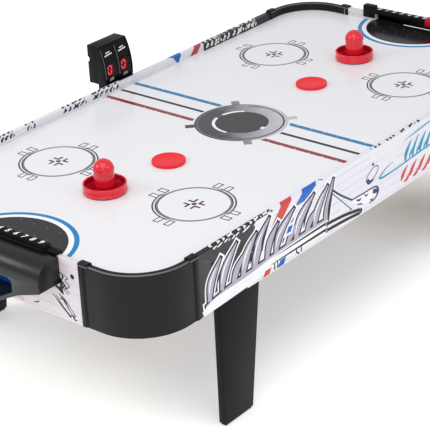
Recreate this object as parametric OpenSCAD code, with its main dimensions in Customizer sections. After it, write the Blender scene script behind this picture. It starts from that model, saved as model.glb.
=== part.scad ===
// Tabletop air hockey table: 40 inch class, four bolt-on board legs, moulded corners,
// puck catchers with digit score bars at both goals, and a clip-on electronic scoreboard.
// X runs along the table, Y across it towards the scoreboard, Z up. Z = 0 is the tabletop it stands on.

/* [Table] */
// Outside length over the end rails
table_l = 1016; // [960:2:1100]
// Outside width over the side rails
table_w = 508; // [480:2:560]
// Height of the playing surface above the ground
play_h = 270; // [240:1:320]
// Thickness of the rail boards
rail_t = 9; // [8:0.5:14]
// Height of the rail boards
rail_h = 92; // [85:1:110]
// Height of the rails above the playing surface
wall_h = 13.5; // [12:0.5:20]
// Inside radius of the moulded corners
corner_r = 72.5; // [60:0.5:85]
// Thickness of the playing surface board
field_t = 6; // [4:0.5:9]

/* [Legs] */
// Thickness of a leg board
leg_t = 12.5; // [10:0.5:18]
// Width of a leg where it meets the rail
leg_top_w = 85; // [70:1:100]
// Width of a leg at the foot
leg_foot_w = 61; // [50:1:80]
// Distance from the table centre to the outer edge of a leg
leg_x = 365.5; // [340:0.5:380]
// Thickness of the rubber foot pads
pad_t = 3; // [2:0.5:6]

/* [Goals] */
// Half width of the goal mouth
goal_half = 76; // [70:1:90]
// Half width of the puck catcher
catcher_half = 104; // [95:1:115]
// How far the puck catcher stands out from the end rail
catcher_out = 40.5; // [34:0.5:55]
// Wall thickness of the puck catcher
catcher_wall = 2.2; // [1.8:0.1:3]
// Spacing of the digits on the score bar
digit_pitch = 15.5; // [12:0.5:16]

/* [Scoreboard] */
// Width of the scoreboard housing
board_w = 67; // [60:1:90]
// Left edge of the scoreboard housing
board_x = -21; // [-60:1:0]
// Height of the scoreboard housing
board_h = 65; // [55:1:90]
// Rear face of the scoreboard housing, from the table centre line
board_back = 296; // [290:1:310]
// Wall thickness of the scoreboard housing
board_wall = 2; // [1.6:0.1:3]

/* [Pushers and pucks] */
// Radius of a pusher base
pusher_r = 32; // [28:0.5:40]
// Height of a pusher to the top of its knob
pusher_h = 50.5; // [44:0.5:60]
// Height of the pusher rim
rim_h = 15; // [10:0.5:18]
// Radius of the pusher knob
knob_r = 15.5; // [13:0.5:17]
// Radius of a puck
puck_r = 25.5; // [24:0.5:28]
// Thickness of a puck
puck_t = 5; // [4:0.5:7]

/* [Hidden] */
$fn = 96;

plastic_black = "#35353a";
board_white = "#ecebf0";
wood_tan = "#c8ad82";
steel = "#b8bcc0";
toy_red = "#d92332";
felt_grey = "#4a4a4c";

// Where each named place lies: name, sign along X, sign along Y.
CORNERS = [["near_right", -1, -1], ["near_left", -1, 1], ["far_right", 1, -1], ["far_left", 1, 1]];
SIDES = [["right", -1], ["left", 1]];
ENDS = [["near", -1], ["far", 1]];

// Rails
inner_l = table_l / 2 - rail_t;
inner_w = table_w / 2 - rail_t;
rail_top = play_h + wall_h;
rail_bottom = rail_top - rail_h;
field_bottom = play_h - field_t;

// Corner mouldings
arc_x = inner_l - corner_r;
arc_y = inner_w - corner_r;
corner_end_x = arc_x - 12.5;
corner_end_y = arc_y - 24.5;
sleeve_l = 9;
collar_l = 15.5;
collar_rise = 3.4;
collar_out = 1.6;
collar_in = 1.5;
gap = 0.1;

// Battens, bottom panel and legs
batten_t = 12;
batten_h = 40;
bottom_t = 3;
bottom_top = field_bottom - batten_h;
bottom_under = bottom_top - bottom_t;
tongue_t = 8.3;
tongue_top = bottom_under - 2;
tongue_bottom = rail_bottom - 26;
bolt_r = 2.5;
bolt_z = rail_bottom + 14;
bolt_dx = [26, 60];
screw_z = play_h - 9;
screw_x = 377;
screw_y = 126;
screw_head_r = 3.6;

// Goals
bar_z = wall_h + 1;
bar_top = wall_h + 9.2;
bar_front = -3;
bar_back = rail_t;
bar_chamfer = 1.5;
block_top = wall_h + 13.6;
block_w = 23;
low_end_top = wall_h + 4;
low_end = catcher_half - 4;
slider_l = 11;
slider_gap = 0.35;
slider_rest_near = 70;
slider_rest_far = -33;
outer_l = table_l / 2;
catcher_x = outer_l + gap;
catcher_round = 24.5;
catcher_top = wall_h + 0.8;

// Fan
fan_r = 60;
fan_bottom = bottom_under - 34;
wheel_r = 52;
shaft_r = 1.5;
running = 0.05;

// Switch plate on the scoreboard side rail
plate_x = -90;
plate_z = bottom_top + 20;
plate_l = 56;
plate_h = 26;
plate_t = 2;
rocker_x = plate_x - 13;
jack_x = plate_x + 16;
jack_r = 2.8;

// Scoreboard: the display face is part of a drum of this radius and centre
drum_r = 111.6;
drum_y = 370.8;
drum_z = 23.2;
board_z = 10;
board_split = 277;
neck_z = -46;
neck_front = table_w / 2 + 0.2;
window_w = 29;
window_t = 1.4;
window_x = [board_x + 2.5, board_x + board_w - 2.5 - window_w];
button_r = 4;
button_travel = 1.5;
button_y = 287;
button_z = 52;
bracket_screw_x = [board_x + 14, board_x + board_w - 14];
bracket_screw_z = play_h - 30;

// Loose pieces: places on the playing surface
pusher_x = [-305, 322.7];
pusher_y = [1, 4];
puck_x = [-178, 184.5];
puck_y = [-9.5, -6.5];
felt_t = 1.2;

// The scoreboard overhangs on one side, so the whole table shifts to centre its box on the origin.
shift_y = (table_w / 2 + collar_out - board_back) / 2;

module placed() translate([0, shift_y, 0]) children();
module quadrant(sx, sy)
    mirror([sx < 0 ? 1 : 0, 0, 0]) mirror([0, sy < 0 ? 1 : 0, 0]) children();
// Extrudes an outline drawn in Y and Z along X, or one drawn in X and Z along Y.
module along_x(length) rotate([90, 0, 90]) linear_extrude(length) children();
module along_y(length) translate([0, length, 0]) rotate([90, 0, 0]) linear_extrude(length) children();

module round_rect(half_l, half_w, r) {
    square([2 * half_l, 2 * (half_w - r)], center = true);
    square([2 * (half_l - r), 2 * half_w], center = true);
    for (sx = [-1, 1], sy = [-1, 1])
        translate([sx * (half_l - r), sy * (half_w - r)]) circle(r);
}

// ---------------------------------------------------------------- field, rails and battens

module playfield()
    color(board_white)
        translate([0, 0, field_bottom])
            linear_extrude(field_t) round_rect(inner_l - gap, inner_w - gap, corner_r - gap);

module bottom_panel()
    color(wood_tan)
        translate([0, 0, bottom_under])
            linear_extrude(bottom_t) difference() {
                round_rect(inner_l - gap, inner_w - gap, corner_r - gap);
                circle(fan_r - 14);
            }

module screw_shanks_y(sy, r, depth)
    for (sx = [-1, 1])
        translate([sx * screw_x, sy * (table_w / 2 + 1), screw_z])
            rotate([sy * 90, 0, 0]) cylinder(r = r, h = depth);

module screw_shanks_x(sx, r, depth)
    for (sy = [-1, 1])
        translate([sx * (outer_l + 1), sy * screw_y, screw_z])
            rotate([0, -sx * 90, 0]) cylinder(r = r, h = depth);

module leg_bolt_holes(sx, sy, r, from_y, to_y)
    for (dx = bolt_dx)
        translate([sx * (leg_x - dx), sy * from_y, bolt_z])
            rotate([-sy * 90, 0, 0]) cylinder(r = r, h = to_y - from_y);

module side_rail(sy)
    color(board_white) difference() {
        translate([-corner_end_x + gap, sy > 0 ? inner_w : -inner_w - rail_t, rail_bottom])
            cube([2 * (corner_end_x - gap), rail_t, rail_h]);
        screw_shanks_y(sy, screw_head_r, 3);
        screw_shanks_y(sy, 1.6, 20);
        for (sx = [-1, 1]) leg_bolt_holes(sx, sy, bolt_r + 0.1, inner_w - 1, inner_w + 6);
        if (sy > 0) {
            translate([rocker_x - 7.5, inner_w - 1, plate_z - 9]) cube([15, rail_t + 2, 18]);
            translate([jack_x, inner_w - 1, plate_z]) rotate([-90, 0, 0]) cylinder(r = 5.6, h = rail_t + 2);
            for (x = bracket_screw_x)
                translate([x, table_w / 2 - 7.5, bracket_screw_z]) rotate([-90, 0, 0]) cylinder(r = 1.7, h = 9);
        }
    }

module end_rail(sx)
    color(board_white) difference() {
        translate([sx > 0 ? inner_l : -inner_l - rail_t, -corner_end_y + gap, rail_bottom])
            cube([rail_t, 2 * (corner_end_y - gap), rail_h]);
        translate([sx > 0 ? inner_l - 1 : -inner_l - rail_t - 1, -goal_half - 4, play_h - 0.5])
            cube([rail_t + 2, 2 * (goal_half + 4), wall_h + 2]);
        screw_shanks_x(sx, screw_head_r, 3);
        screw_shanks_x(sx, 1.6, 20);
        catcher_screw_row(sx, 1.8, 12);
    }

module side_batten(sy)
    color(wood_tan) difference() {
        translate([-arc_x + 2, sy > 0 ? inner_w - batten_t : -inner_w, bottom_top])
            cube([2 * arc_x - 4, batten_t, batten_h]);
        screw_shanks_y(sy, 1.6, 20);
        if (sy > 0) {
            translate([rocker_x - 9, inner_w - batten_t - 1, plate_z - 10]) cube([18, batten_t + 2, 20]);
            translate([jack_x, inner_w - batten_t - 1, plate_z])
                rotate([-90, 0, 0]) cylinder(r = 7, h = batten_t + 2);
        }
    }

module end_batten(sx)
    color(wood_tan) difference() {
        translate([sx > 0 ? inner_l - batten_t : -inner_l, -arc_y + 2, bottom_top])
            cube([batten_t, 2 * arc_y - 4, batten_h]);
        screw_shanks_x(sx, 1.6, 20);
    }

module rail_screws()
    color(plastic_black) {
        for (sy = [-1, 1])
            for (sx = [-1, 1])
                translate([sx * screw_x, sy * table_w / 2, screw_z]) rotate([sy * 90, 0, 0]) screw(16);
        for (sx = [-1, 1])
            for (sy = [-1, 1])
                translate([sx * outer_l, sy * screw_y, screw_z]) rotate([0, -sx * 90, 0]) screw(16);
    }

// A countersunk screw that points along +Z, its head just under the surface, with a cross recess.
module screw(length)
    difference() {
        union() {
            translate([0, 0, 0.4]) cylinder(r = screw_head_r, h = 1.6);
            translate([0, 0, 0.4]) cylinder(r = 1.6, h = length);
        }
        for (turn = [0, 90])
            rotate([0, 0, turn]) translate([-2, -0.4, 0]) cube([4, 0.8, 1.3]);
    }

// ---------------------------------------------------------------- moulded corners

// Section of the corner wall: X runs outwards from the playing side, Y up from the rail's lower edge.
module wall_section() {
    h = rail_h + 1;
    outer_round = 4;
    inner_round = 2;
    square([rail_t, h - outer_round]);
    translate([inner_round, 0]) square([rail_t - inner_round - outer_round, h]);
    translate([0, h - outer_round]) square([rail_t - outer_round, outer_round - inner_round]);
    translate([rail_t - outer_round, h - outer_round]) circle(outer_round);
    translate([inner_round, h - inner_round]) circle(inner_round);
}

// Raised band over the wall where a rail plugs in. It starts at height "from" above the rail's edge.
module collar_section(from) {
    h = rail_h + collar_rise;
    r = collar_rise - 0.4;
    translate([-collar_in, from]) square([collar_in + rail_t + collar_out, h - r - from]);
    translate([r - collar_in, from]) square([collar_in + rail_t + collar_out - 2 * r, h - from]);
    for (x = [r - collar_in, rail_t + collar_out - r])
        intersection() {
            translate([x, h - r]) circle(r);
            translate([x - r, from]) square([2 * r, h]);
        }
}

// Cover over the rail's end: outer lip, inner lip above the field, and the collar on top.
module sleeve_section() {
    translate([rail_t + gap, 0]) square([collar_out - gap, rail_h + 1]);
    translate([-collar_in, rail_h - wall_h + 0.2]) square([collar_in - gap, wall_h]);
    collar_section(rail_h + gap);
}

module corner_piece()
    color(plastic_black) translate([0, 0, rail_bottom]) {
        translate([arc_x, arc_y, 0]) rotate_extrude(angle = 90) translate([corner_r, 0]) wall_section();
        translate([corner_end_x, inner_w, 0]) along_x(arc_x - corner_end_x) wall_section();
        translate([inner_l, corner_end_y, 0]) along_y(arc_y - corner_end_y) wall_section();
        translate([corner_end_x - sleeve_l, inner_w, 0]) along_x(sleeve_l - 1.6) sleeve_section();
        translate([inner_l, corner_end_y - sleeve_l, 0]) along_y(sleeve_l - 1.6) sleeve_section();
        translate([corner_end_x - sleeve_l, inner_w, 0]) along_x(collar_l) collar_section(rail_h + gap);
        translate([inner_l, corner_end_y - sleeve_l, 0]) along_y(collar_l) collar_section(rail_h + gap);
        translate([corner_end_x, inner_w, 0]) along_x(collar_l - sleeve_l) collar_section(rail_h - 2);
        translate([inner_l, corner_end_y, 0]) along_y(collar_l - sleeve_l) collar_section(rail_h - 2);
        // Thin web across the groove between the sleeve and the corner's body.
        translate([corner_end_x - 2, inner_w + rail_t + gap, 0]) cube([2.5, 0.5, rail_h + 1]);
        translate([inner_l + rail_t + gap, corner_end_y - 2, 0]) cube([0.5, 2.5, rail_h + 1]);
    }

// ---------------------------------------------------------------- legs

module leg_board()
    polygon([
        [leg_x, pad_t], [leg_x, rail_bottom - gap],
        [leg_x - leg_top_w, rail_bottom - gap], [leg_x - leg_foot_w, pad_t]
    ]);

module leg()
    color(plastic_black) difference() {
        union() {
            translate([0, table_w / 2 - leg_t + 0.3, 0]) along_y(leg_t) leg_board();
            translate([leg_x - leg_top_w + 8, inner_w - gap - tongue_t, tongue_bottom])
                cube([leg_top_w - 16, tongue_t, tongue_top - tongue_bottom]);
        }
        leg_bolt_holes(1, 1, bolt_r + 0.1, inner_w - tongue_t - 2, inner_w + 1);
    }

module foot_pads()
    color(felt_grey)
        for (c = CORNERS)
            quadrant(c[1], c[2])
                translate([leg_x - leg_foot_w + 2, table_w / 2 - leg_t + 2.3, 0])
                    cube([leg_foot_w - 4, leg_t - 4, pad_t]);

module leg_bolts()
    color(steel)
        for (c = CORNERS)
            quadrant(c[1], c[2])
                for (dx = bolt_dx)
                    translate([leg_x - dx, inner_w - gap - tongue_t, bolt_z]) rotate([-90, 0, 0]) difference() {
                        union() {
                            cylinder(r = bolt_r, h = tongue_t + 6);
                            translate([0, 0, -3]) cylinder(r = 5, h = 3);
                        }
                        translate([0, 0, -3.5]) cylinder(r = 2, h = 2, $fn = 6);
                    }

// ---------------------------------------------------------------- goals, drawn at the far end

// Side outline of the puck catcher, X outwards and Z from the playing surface, inset by "wall".
module catcher_outline(wall) {
    out = outer_l + catcher_out - wall;
    top = catcher_top - wall;
    r = catcher_round - wall;
    back = wall > 0 ? outer_l - 5 : catcher_x;
    translate([back, -80]) square([out - r - back, 80 + top]);
    translate([out - r - 1, -80]) square([r + 1, 80 + top - r]);
    intersection() {
        translate([out - r, top - r]) circle(r);
        translate([out - r - 1, top - r - 1]) square(2 * r);
    }
}

// Front outline of the puck catcher: shallow at its ends and deep in the middle.
module catcher_front(wall) {
    w = catcher_half - wall;
    polygon([
        [w, 30], [w, -24 + wall], [62, -38 + wall], [26, -57 + wall],
        [-26, -57 + wall], [-62, -38 + wall], [-w, -24 + wall], [-w, 30]
    ]);
}

module catcher_window()
    polygon([[50, -16], [53, -20], [53, -36], [25, -51.5], [-25, -51.5], [-53, -36], [-53, -20], [-50, -16]]);

module catcher_form(wall)
    intersection() {
        translate([0, -catcher_half - 1, 0]) along_y(2 * catcher_half + 2) catcher_outline(wall);
        translate([outer_l - 10, 0, 0]) along_x(catcher_out + 20) catcher_front(wall);
    }

module puck_catcher(sx)
    color(plastic_black) quadrant(sx, 1) translate([0, 0, play_h]) {
        difference() {
            catcher_form(0);
            catcher_form(catcher_wall);
            translate([outer_l + catcher_out - 6, 0, 0]) along_x(10) catcher_window();
        }
        // Fixing ears inside the catcher, one at each end, screwed to the rail.
        for (sy = [-1, 1])
            difference() {
                translate([catcher_x, sy > 0 ? 84 : -catcher_half + 1, -14]) cube([2.5, catcher_half - 85, 16]);
                translate([catcher_x - 1, sy * 92, -6]) rotate([0, 90, 0]) cylinder(r = 1.8, h = 5);
            }
    }

module catcher_screw_row(sx, r, depth)
    for (sy = [-1, 1])
        translate([sx * (outer_l + 3), sy * 92, play_h - 6]) rotate([0, -sx * 90, 0]) cylinder(r = r, h = depth);

module catcher_screws()
    color(steel)
        for (sx = [-1, 1])
            quadrant(sx, 1)
                for (sy = [-1, 1])
                    translate([catcher_x + 2.5, sy * 92, play_h - 6]) rotate([0, -90, 0]) {
                        cylinder(r = 1.7, h = 11);
                        translate([0, 0, -1.8]) cylinder(r = 3.2, h = 1.8);
                    }

// Section of the score bar: X from the rail's inner face, Y from the playing surface.
module bar_section()
    polygon([
        [bar_front, bar_z], [bar_front, bar_top - bar_chamfer], [bar_front + bar_chamfer, bar_top],
        [bar_back, bar_top], [bar_back, bar_z]
    ]);

// End of the score bar over the rail, with a lip down the rail's inner face.
module bar_end(side, from, to, top)
    mirror([0, side < 0 ? 1 : 0, 0]) difference() {
        union() {
            translate([bar_front, from, bar_z - 1]) cube([bar_back - bar_front, to - from, top - bar_z + 1]);
            translate([bar_front, goal_half + 4.5, 5.5])
                cube([-bar_front - gap, to - goal_half - 4.5, min(wall_h, top - 5.5)]);
        }
        translate([-gap, goal_half + 4, wall_h - 4]) cube([rail_t + 2 * gap, to - goal_half, 4 + gap]);
    }

// The end block on the scoreboard's side stands up; the other end is low.
module score_bar(sx)
    color(plastic_black) quadrant(sx, 1) translate([inner_l, 0, play_h]) {
        translate([0, -goal_half - 4, 0]) along_y(goal_half + catcher_half - block_w + 5) bar_section();
        bar_end(1, catcher_half - block_w, catcher_half, block_top);
        bar_end(-1, goal_half, low_end, low_end_top);
    }

// The slider is a clip round the bar; it slides between the two end blocks.
module score_slider(sx) {
    rest = sx < 0 ? slider_rest_near : slider_rest_far;
    g = slider_gap;
    wall = 2.4;
    front = bar_front - wall;
    back = bar_back - 1;
    color(toy_red) quadrant(sx, 1)
        translate([inner_l, rest - slider_l / 2, play_h]) along_y(slider_l)
            polygon([
                [front, bar_z - wall], [front, bar_top - 0.8], [front + wall + 0.8, bar_top + wall],
                [back, bar_top + wall], [back, bar_top + g], [bar_front + bar_chamfer - g / 2, bar_top + g],
                [bar_front - g, bar_top - bar_chamfer + g / 2], [bar_front - g, bar_z - g],
                [4, bar_z - g], [4, bar_z - wall]
            ]);
}

// Beam sensor housed at one side of the goal mouth, behind the rail.
module goal_sensor(sx)
    color(felt_grey) quadrant(sx, 1)
        translate([catcher_x + 3, -catcher_half + catcher_wall + 1, play_h - 2]) cube([14, 8, 8]);

// ---------------------------------------------------------------- fan

module fan_housing()
    color(plastic_black) difference() {
        union() {
            translate([0, 0, fan_bottom]) cylinder(r = fan_r, h = bottom_under - gap - fan_bottom);
            translate([0, 0, bottom_under - gap - 2.5]) cylinder(r = fan_r + 9, h = 2.5);
        }
        translate([0, 0, fan_bottom + 2]) cylinder(r = fan_r - 2, h = 40);
        translate([0, 0, fan_bottom - 1]) cylinder(r = fan_r - 18, h = 40);
        for (turn = [45:90:315])
            rotate([0, 0, turn]) translate([fan_r + 5, 0, bottom_under - 6]) cylinder(r = 1.7, h = 8);
    }

// Motor can with its three mounting arms, which rest on the housing's wall.
module fan_motor()
    color(steel) difference() {
        union() {
            translate([0, 0, fan_bottom + 18]) cylinder(r = 15, h = 18);
            for (turn = [0:120:240])
                rotate([0, 0, turn]) translate([10, -4, fan_bottom + 28]) cube([fan_r - 12.2, 8, 3]);
        }
        translate([0, 0, fan_bottom + 10]) cylinder(r = shaft_r + running, h = 20);
    }

module fan_impeller()
    color(board_white) {
        z0 = fan_bottom + 4.5;
        difference() {
            translate([0, 0, z0]) cylinder(r = wheel_r, h = 1.8);
            for (turn = [0:60:300])
                rotate([0, 0, turn]) translate([14, 0, z0 - 1]) cylinder(r = 4.5, h = 4);
        }
        translate([0, 0, z0]) cylinder(r = 8, h = 8);
        translate([0, 0, z0 + 7]) cylinder(r = shaft_r, h = 14);
        for (blade = [0:40:320])
            rotate([0, 0, blade]) translate([24, -1, z0 + 1]) rotate([0, 0, -18]) cube([25, 2, 9.5]);
    }

module fan_guard()
    color(plastic_black) translate([0, 0, fan_bottom - 2.2]) {
        for (ring = [12, 26, 40, 54])
            difference() {
                cylinder(r = ring, h = 2.1);
                translate([0, 0, -1]) cylinder(r = ring - 3, h = 5);
            }
        cylinder(r = 5, h = 2.1);
        for (turn = [0:45:135])
            rotate([0, 0, turn]) translate([-53, -1.5, 0]) cube([106, 3, 2.1]);
    }

module fan_screws()
    color(steel)
        for (turn = [45:90:315])
            rotate([0, 0, turn]) translate([fan_r + 5, 0, bottom_under - gap - 4.3]) {
                cylinder(r = 3.2, h = 1.8);
                translate([0, 0, 1.8]) cylinder(r = 1.7, h = 2.4);
            }

// ---------------------------------------------------------------- switch and power inlet

module switch_plate()
    color(plastic_black) difference() {
        translate([plate_x - plate_l / 2, table_w / 2 + gap, plate_z - plate_h / 2])
            cube([plate_l, plate_t, plate_h]);
        translate([rocker_x - 6.6, table_w / 2 - 1, plate_z - 8]) cube([13.2, plate_t + 3, 16]);
        translate([jack_x, table_w / 2 - 1, plate_z]) rotate([-90, 0, 0]) cylinder(r = 5, h = plate_t + 3);
    }

module power_rocker()
    color(toy_red) translate([rocker_x, table_w / 2 - 1.5, plate_z]) {
        rotate([-8, 0, 0]) difference() {
            translate([-6, -4, -6.2]) cube([12, 9, 12.4]);
            translate([-7, 19.5, 0]) rotate([0, 90, 0]) cylinder(r = 15.5, h = 14);
        }
        translate([-6.9, 0, 0]) rotate([0, 90, 0]) cylinder(r = 1.2, h = 13.8);
    }

module dc_jack()
    color(felt_grey) translate([jack_x, 0, plate_z]) {
        difference() {
            translate([0, table_w / 2 - 13, 0]) rotate([-90, 0, 0]) cylinder(r = 4.9, h = 15.6);
            translate([0, table_w / 2 - 9, 0]) rotate([-90, 0, 0]) cylinder(r = jack_r, h = 14);
        }
        translate([0, table_w / 2 - 9.5, 0]) rotate([-90, 0, 0]) cylinder(r = 1, h = 10);
    }

// ---------------------------------------------------------------- scoreboard, Z from the playing surface

module drum(r) translate([drum_y, drum_z]) circle(r, $fn = 180);

// Side outline of the housing between two depths, inset from every outer face by "inset".
module housing_outline(from_y, to_y, inset)
    intersection() {
        drum(drum_r - inset);
        translate([from_y, board_z + inset]) square([to_y - from_y, board_h - 2 * inset]);
    }

module housing(from_y, to_y, inset)
    translate([board_x + inset, 0, play_h]) along_x(board_w - 2 * inset) housing_outline(from_y, to_y, inset);

module scoreboard_front()
    color(plastic_black) difference() {
        housing(table_w / 2 + 1, board_split - gap, 0);
        housing(table_w / 2 + 1, board_split + 1, board_wall + window_t);
        for (x = window_x)
            translate([x - gap, 0, play_h]) along_x(window_w + 2 * gap) difference() {
                translate([table_w / 2, board_z + 3]) square([22, board_h - 7]);
                drum(drum_r - window_t);
            }
        for (x = window_x)
            translate([x + 6, table_w / 2, play_h + 22]) cube([window_w - 12, 16, 26]);
    }

module display_window(i)
    color([0.16, 0.05, 0.06, 0.9])
        translate([window_x[i], 0, play_h]) along_x(window_w) intersection() {
            difference() {
                drum(drum_r);
                drum(drum_r - window_t + gap);
            }
            translate([table_w / 2, board_z + 3 + gap]) square([22, board_h - 7 - 2 * gap]);
        }

module scoreboard_back()
    color(plastic_black) difference() {
        housing(board_split, board_back, 0);
        housing(board_split - 1, board_back - board_wall, board_wall);
        translate([board_x - 1, board_back + 1.5, play_h + 51])
            rotate([0, 90, 0]) cylinder(r = 5, h = board_w + 2);
        translate([board_x + 30, board_back - 4, play_h + 14]) cube([30, 8, 28]);
        translate([board_x + board_w - 4, button_y, play_h + button_z - 14])
            rotate([0, 90, 0]) cylinder(r = button_r + 0.3, h = 6);
    }

module battery_door()
    color(plastic_black)
        translate([board_x + 30 + gap, board_back - 2.2, play_h + 14 + gap])
            difference() {
                cube([30 - 2 * gap, 1.9, 28 - 2 * gap]);
                for (z = [4:2.5:14]) translate([9, 1.4, z]) cube([12, 1, 1]);
            }

module scoreboard_bracket()
    color(plastic_black) difference() {
        translate([board_x, neck_front, play_h + neck_z])
            cube([board_w, board_split - 0.5 - neck_front, board_z - gap - neck_z]);
        translate([board_x + 3, neck_front + 3, play_h + neck_z - 1])
            cube([board_w - 6, board_split - neck_front - 6.5, board_z - neck_z - 3]);
        for (x = bracket_screw_x)
            translate([x, neck_front - 1, bracket_screw_z]) rotate([-90, 0, 0]) cylinder(r = 2, h = 30);
    }

module digit_module(i)
    color(board_white)
        translate([window_x[i] + window_w / 2 - 7.5, 264.5, play_h + 24]) cube([15, 7, 22]);

module scoreboard_pcb()
    color("darkgreen") translate([board_x + 5, 272.2, play_h + board_z + 6]) cube([board_w - 10, 1.6, board_h - 16]);

module reset_button()
    color(toy_red)
        translate([board_x + board_w - 5, button_y, play_h + button_z - 14]) rotate([0, 90, 0]) {
            cylinder(r = button_r, h = 7.2);
            translate([0, 0, -1.5]) cylinder(r = button_r + 1, h = 2);
        }

module scoreboard_screws()
    color(steel)
        for (x = bracket_screw_x)
            translate([x, neck_front - 7, bracket_screw_z]) rotate([-90, 0, 0]) {
                cylinder(r = 1.6, h = 10);
                translate([0, 0, 10]) cylinder(r = 3.2, h = 2);
            }

// ---------------------------------------------------------------- pushers and pucks

module pusher_body() {
    base_z = felt_t;
    shoulder_z = pusher_h - knob_r;
    difference() {
        translate([0, 0, base_z]) cylinder(r = pusher_r, h = rim_h - base_z);
        translate([0, 0, 4]) cylinder(r = pusher_r - 2.6, h = rim_h);
    }
    translate([0, 0, 3]) cylinder(r = knob_r - 0.6, h = shoulder_z - 3);
    translate([0, 0, 3.9]) cylinder(r1 = knob_r + 4, r2 = knob_r - 0.6, h = 7);
    translate([0, 0, shoulder_z]) sphere(knob_r);
}

module pusher(i)
    color(toy_red) translate([pusher_x[i], pusher_y[i], play_h + gap]) pusher_body();

module pusher_felt(i)
    color(felt_grey) translate([pusher_x[i], pusher_y[i], play_h + gap]) difference() {
        cylinder(r = pusher_r - 1.5, h = felt_t);
        translate([0, 0, -1]) cylinder(r = pusher_r - 10, h = 4);
    }

module puck(i)
    color(toy_red) translate([puck_x[i], puck_y[i], play_h + gap]) {
        edge = 0.8;
        translate([0, 0, edge]) cylinder(r = puck_r, h = puck_t - 2 * edge);
        cylinder(r1 = puck_r - edge, r2 = puck_r, h = edge);
        translate([0, 0, puck_t - edge]) cylinder(r1 = puck_r, r2 = puck_r - edge, h = edge);
    }

// ---------------------------------------------------------------- nodes

placed() playfield();
placed() bottom_panel();
for (s = SIDES) {
    placed() side_rail(s[1]);
    placed() side_batten(s[1]);
}
for (c = CORNERS) {
    placed() quadrant(c[1], c[2]) corner_piece();
    placed() quadrant(c[1], c[2]) leg();
}
for (e = ENDS) {
    placed() end_rail(e[1]);
    placed() end_batten(e[1]);
    placed() puck_catcher(e[1]);
    placed() score_bar(e[1]);
    placed() score_slider(e[1]);
    placed() goal_sensor(e[1]);
}
placed() foot_pads();
placed() leg_bolts();
placed() rail_screws();
placed() catcher_screws();
placed() fan_housing();
placed() fan_motor();
placed() fan_impeller();
placed() fan_guard();
placed() fan_screws();
placed() switch_plate();
placed() power_rocker();
placed() dc_jack();
placed() scoreboard_bracket();
placed() scoreboard_front();
placed() scoreboard_back();
placed() display_window(0);  // display_window_left
placed() display_window(1);  // display_window_right
placed() digit_module(0);  // digit_module_left
placed() digit_module(1);  // digit_module_right
placed() scoreboard_pcb();
placed() reset_button();
placed() battery_door();
placed() scoreboard_screws();
placed() pusher(0);  // pusher_near
placed() pusher(1);  // pusher_far
placed() pusher_felt(0);  // pusher_felt_near
placed() pusher_felt(1);  // pusher_felt_far
placed() puck(0);  // puck_near
placed() puck(1);  // puck_far
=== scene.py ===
import math
import random

import bpy
from mathutils import Matrix, Vector


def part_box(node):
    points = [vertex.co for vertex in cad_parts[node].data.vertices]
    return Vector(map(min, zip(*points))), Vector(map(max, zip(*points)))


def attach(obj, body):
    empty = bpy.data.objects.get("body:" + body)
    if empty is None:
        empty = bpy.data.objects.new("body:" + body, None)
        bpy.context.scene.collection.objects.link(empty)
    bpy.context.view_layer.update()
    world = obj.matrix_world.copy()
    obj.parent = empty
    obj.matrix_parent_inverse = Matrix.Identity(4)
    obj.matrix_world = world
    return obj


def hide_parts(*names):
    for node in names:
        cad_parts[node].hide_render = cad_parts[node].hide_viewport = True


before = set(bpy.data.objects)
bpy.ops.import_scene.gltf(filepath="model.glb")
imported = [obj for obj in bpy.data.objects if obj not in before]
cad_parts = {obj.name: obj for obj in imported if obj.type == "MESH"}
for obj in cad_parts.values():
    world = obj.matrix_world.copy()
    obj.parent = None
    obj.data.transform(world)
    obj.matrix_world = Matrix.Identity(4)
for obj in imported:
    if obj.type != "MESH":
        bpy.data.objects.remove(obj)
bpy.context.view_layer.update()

# ------------------------------------------------------------------ driving sizes, from the frame
MM = 0.001
FIELD_LOW, FIELD_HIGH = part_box("playfield")
PLAY = FIELD_HIGH.z
MID_Y = (FIELD_LOW.y + FIELD_HIGH.y) / 2
RAIL_LOW, RAIL_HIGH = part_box("side_rail_right")
END_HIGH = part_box("end_rail_far")[1]
OUTER_W = (MID_Y - RAIL_LOW.y) / MM
RAIL_T = (RAIL_HIGH.y - RAIL_LOW.y) / MM
INNER_W = OUTER_W - RAIL_T
OUTER_L = END_HIGH.x / MM
INNER_L = OUTER_L - RAIL_T
WALL_H = (RAIL_HIGH.z - PLAY) / MM
RAIL_H = (RAIL_HIGH.z - RAIL_LOW.z) / MM
CORNER_R = 72.5
ARC_X = INNER_L - CORNER_R
ARC_Y = INNER_W - CORNER_R
CORNER_END_X = ARC_X - 12.5
CORNER_END_Y = ARC_Y - 24.5
DIGIT_Z = 32.2
RAIL_FOOT = WALL_H - RAIL_H
COLLAR_RISE = 3.4
HOLE_PITCH = 25.0
HOLE_R = 0.62
# Name of each corner, and the sides of the table it is on along X and Y
CORNERS = (("near_right", -1, -1), ("near_left", -1, 1), ("far_right", 1, -1), ("far_left", 1, 1))


def at(x, y, z):
    """A place in millimetres from the middle of the playing surface, as a point of the frame in metres."""
    return Vector((x * MM, MID_Y + y * MM, PLAY + z * MM))


# ------------------------------------------------------------------ camera, lights and floor
def add_camera():
    azimuth, elevation, roll = math.radians(-49.61), math.radians(26.16), math.radians(-2.95)
    camera = bpy.data.cameras.new("camera")
    camera.sensor_width = 36.0
    camera.lens = 133.7
    camera.clip_end = 60.0
    holder = bpy.data.objects.new("camera", camera)
    bpy.context.scene.collection.objects.link(holder)
    turn = Matrix.Rotation(azimuth, 4, "Z") @ Matrix.Rotation(math.pi / 2 - elevation, 4, "X")
    turn = turn @ Matrix.Rotation(roll, 4, "Z")
    holder.matrix_world = Matrix.Translation(at(-1777.7, -1454.9, 967.8)) @ turn
    bpy.context.scene.camera = holder


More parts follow.
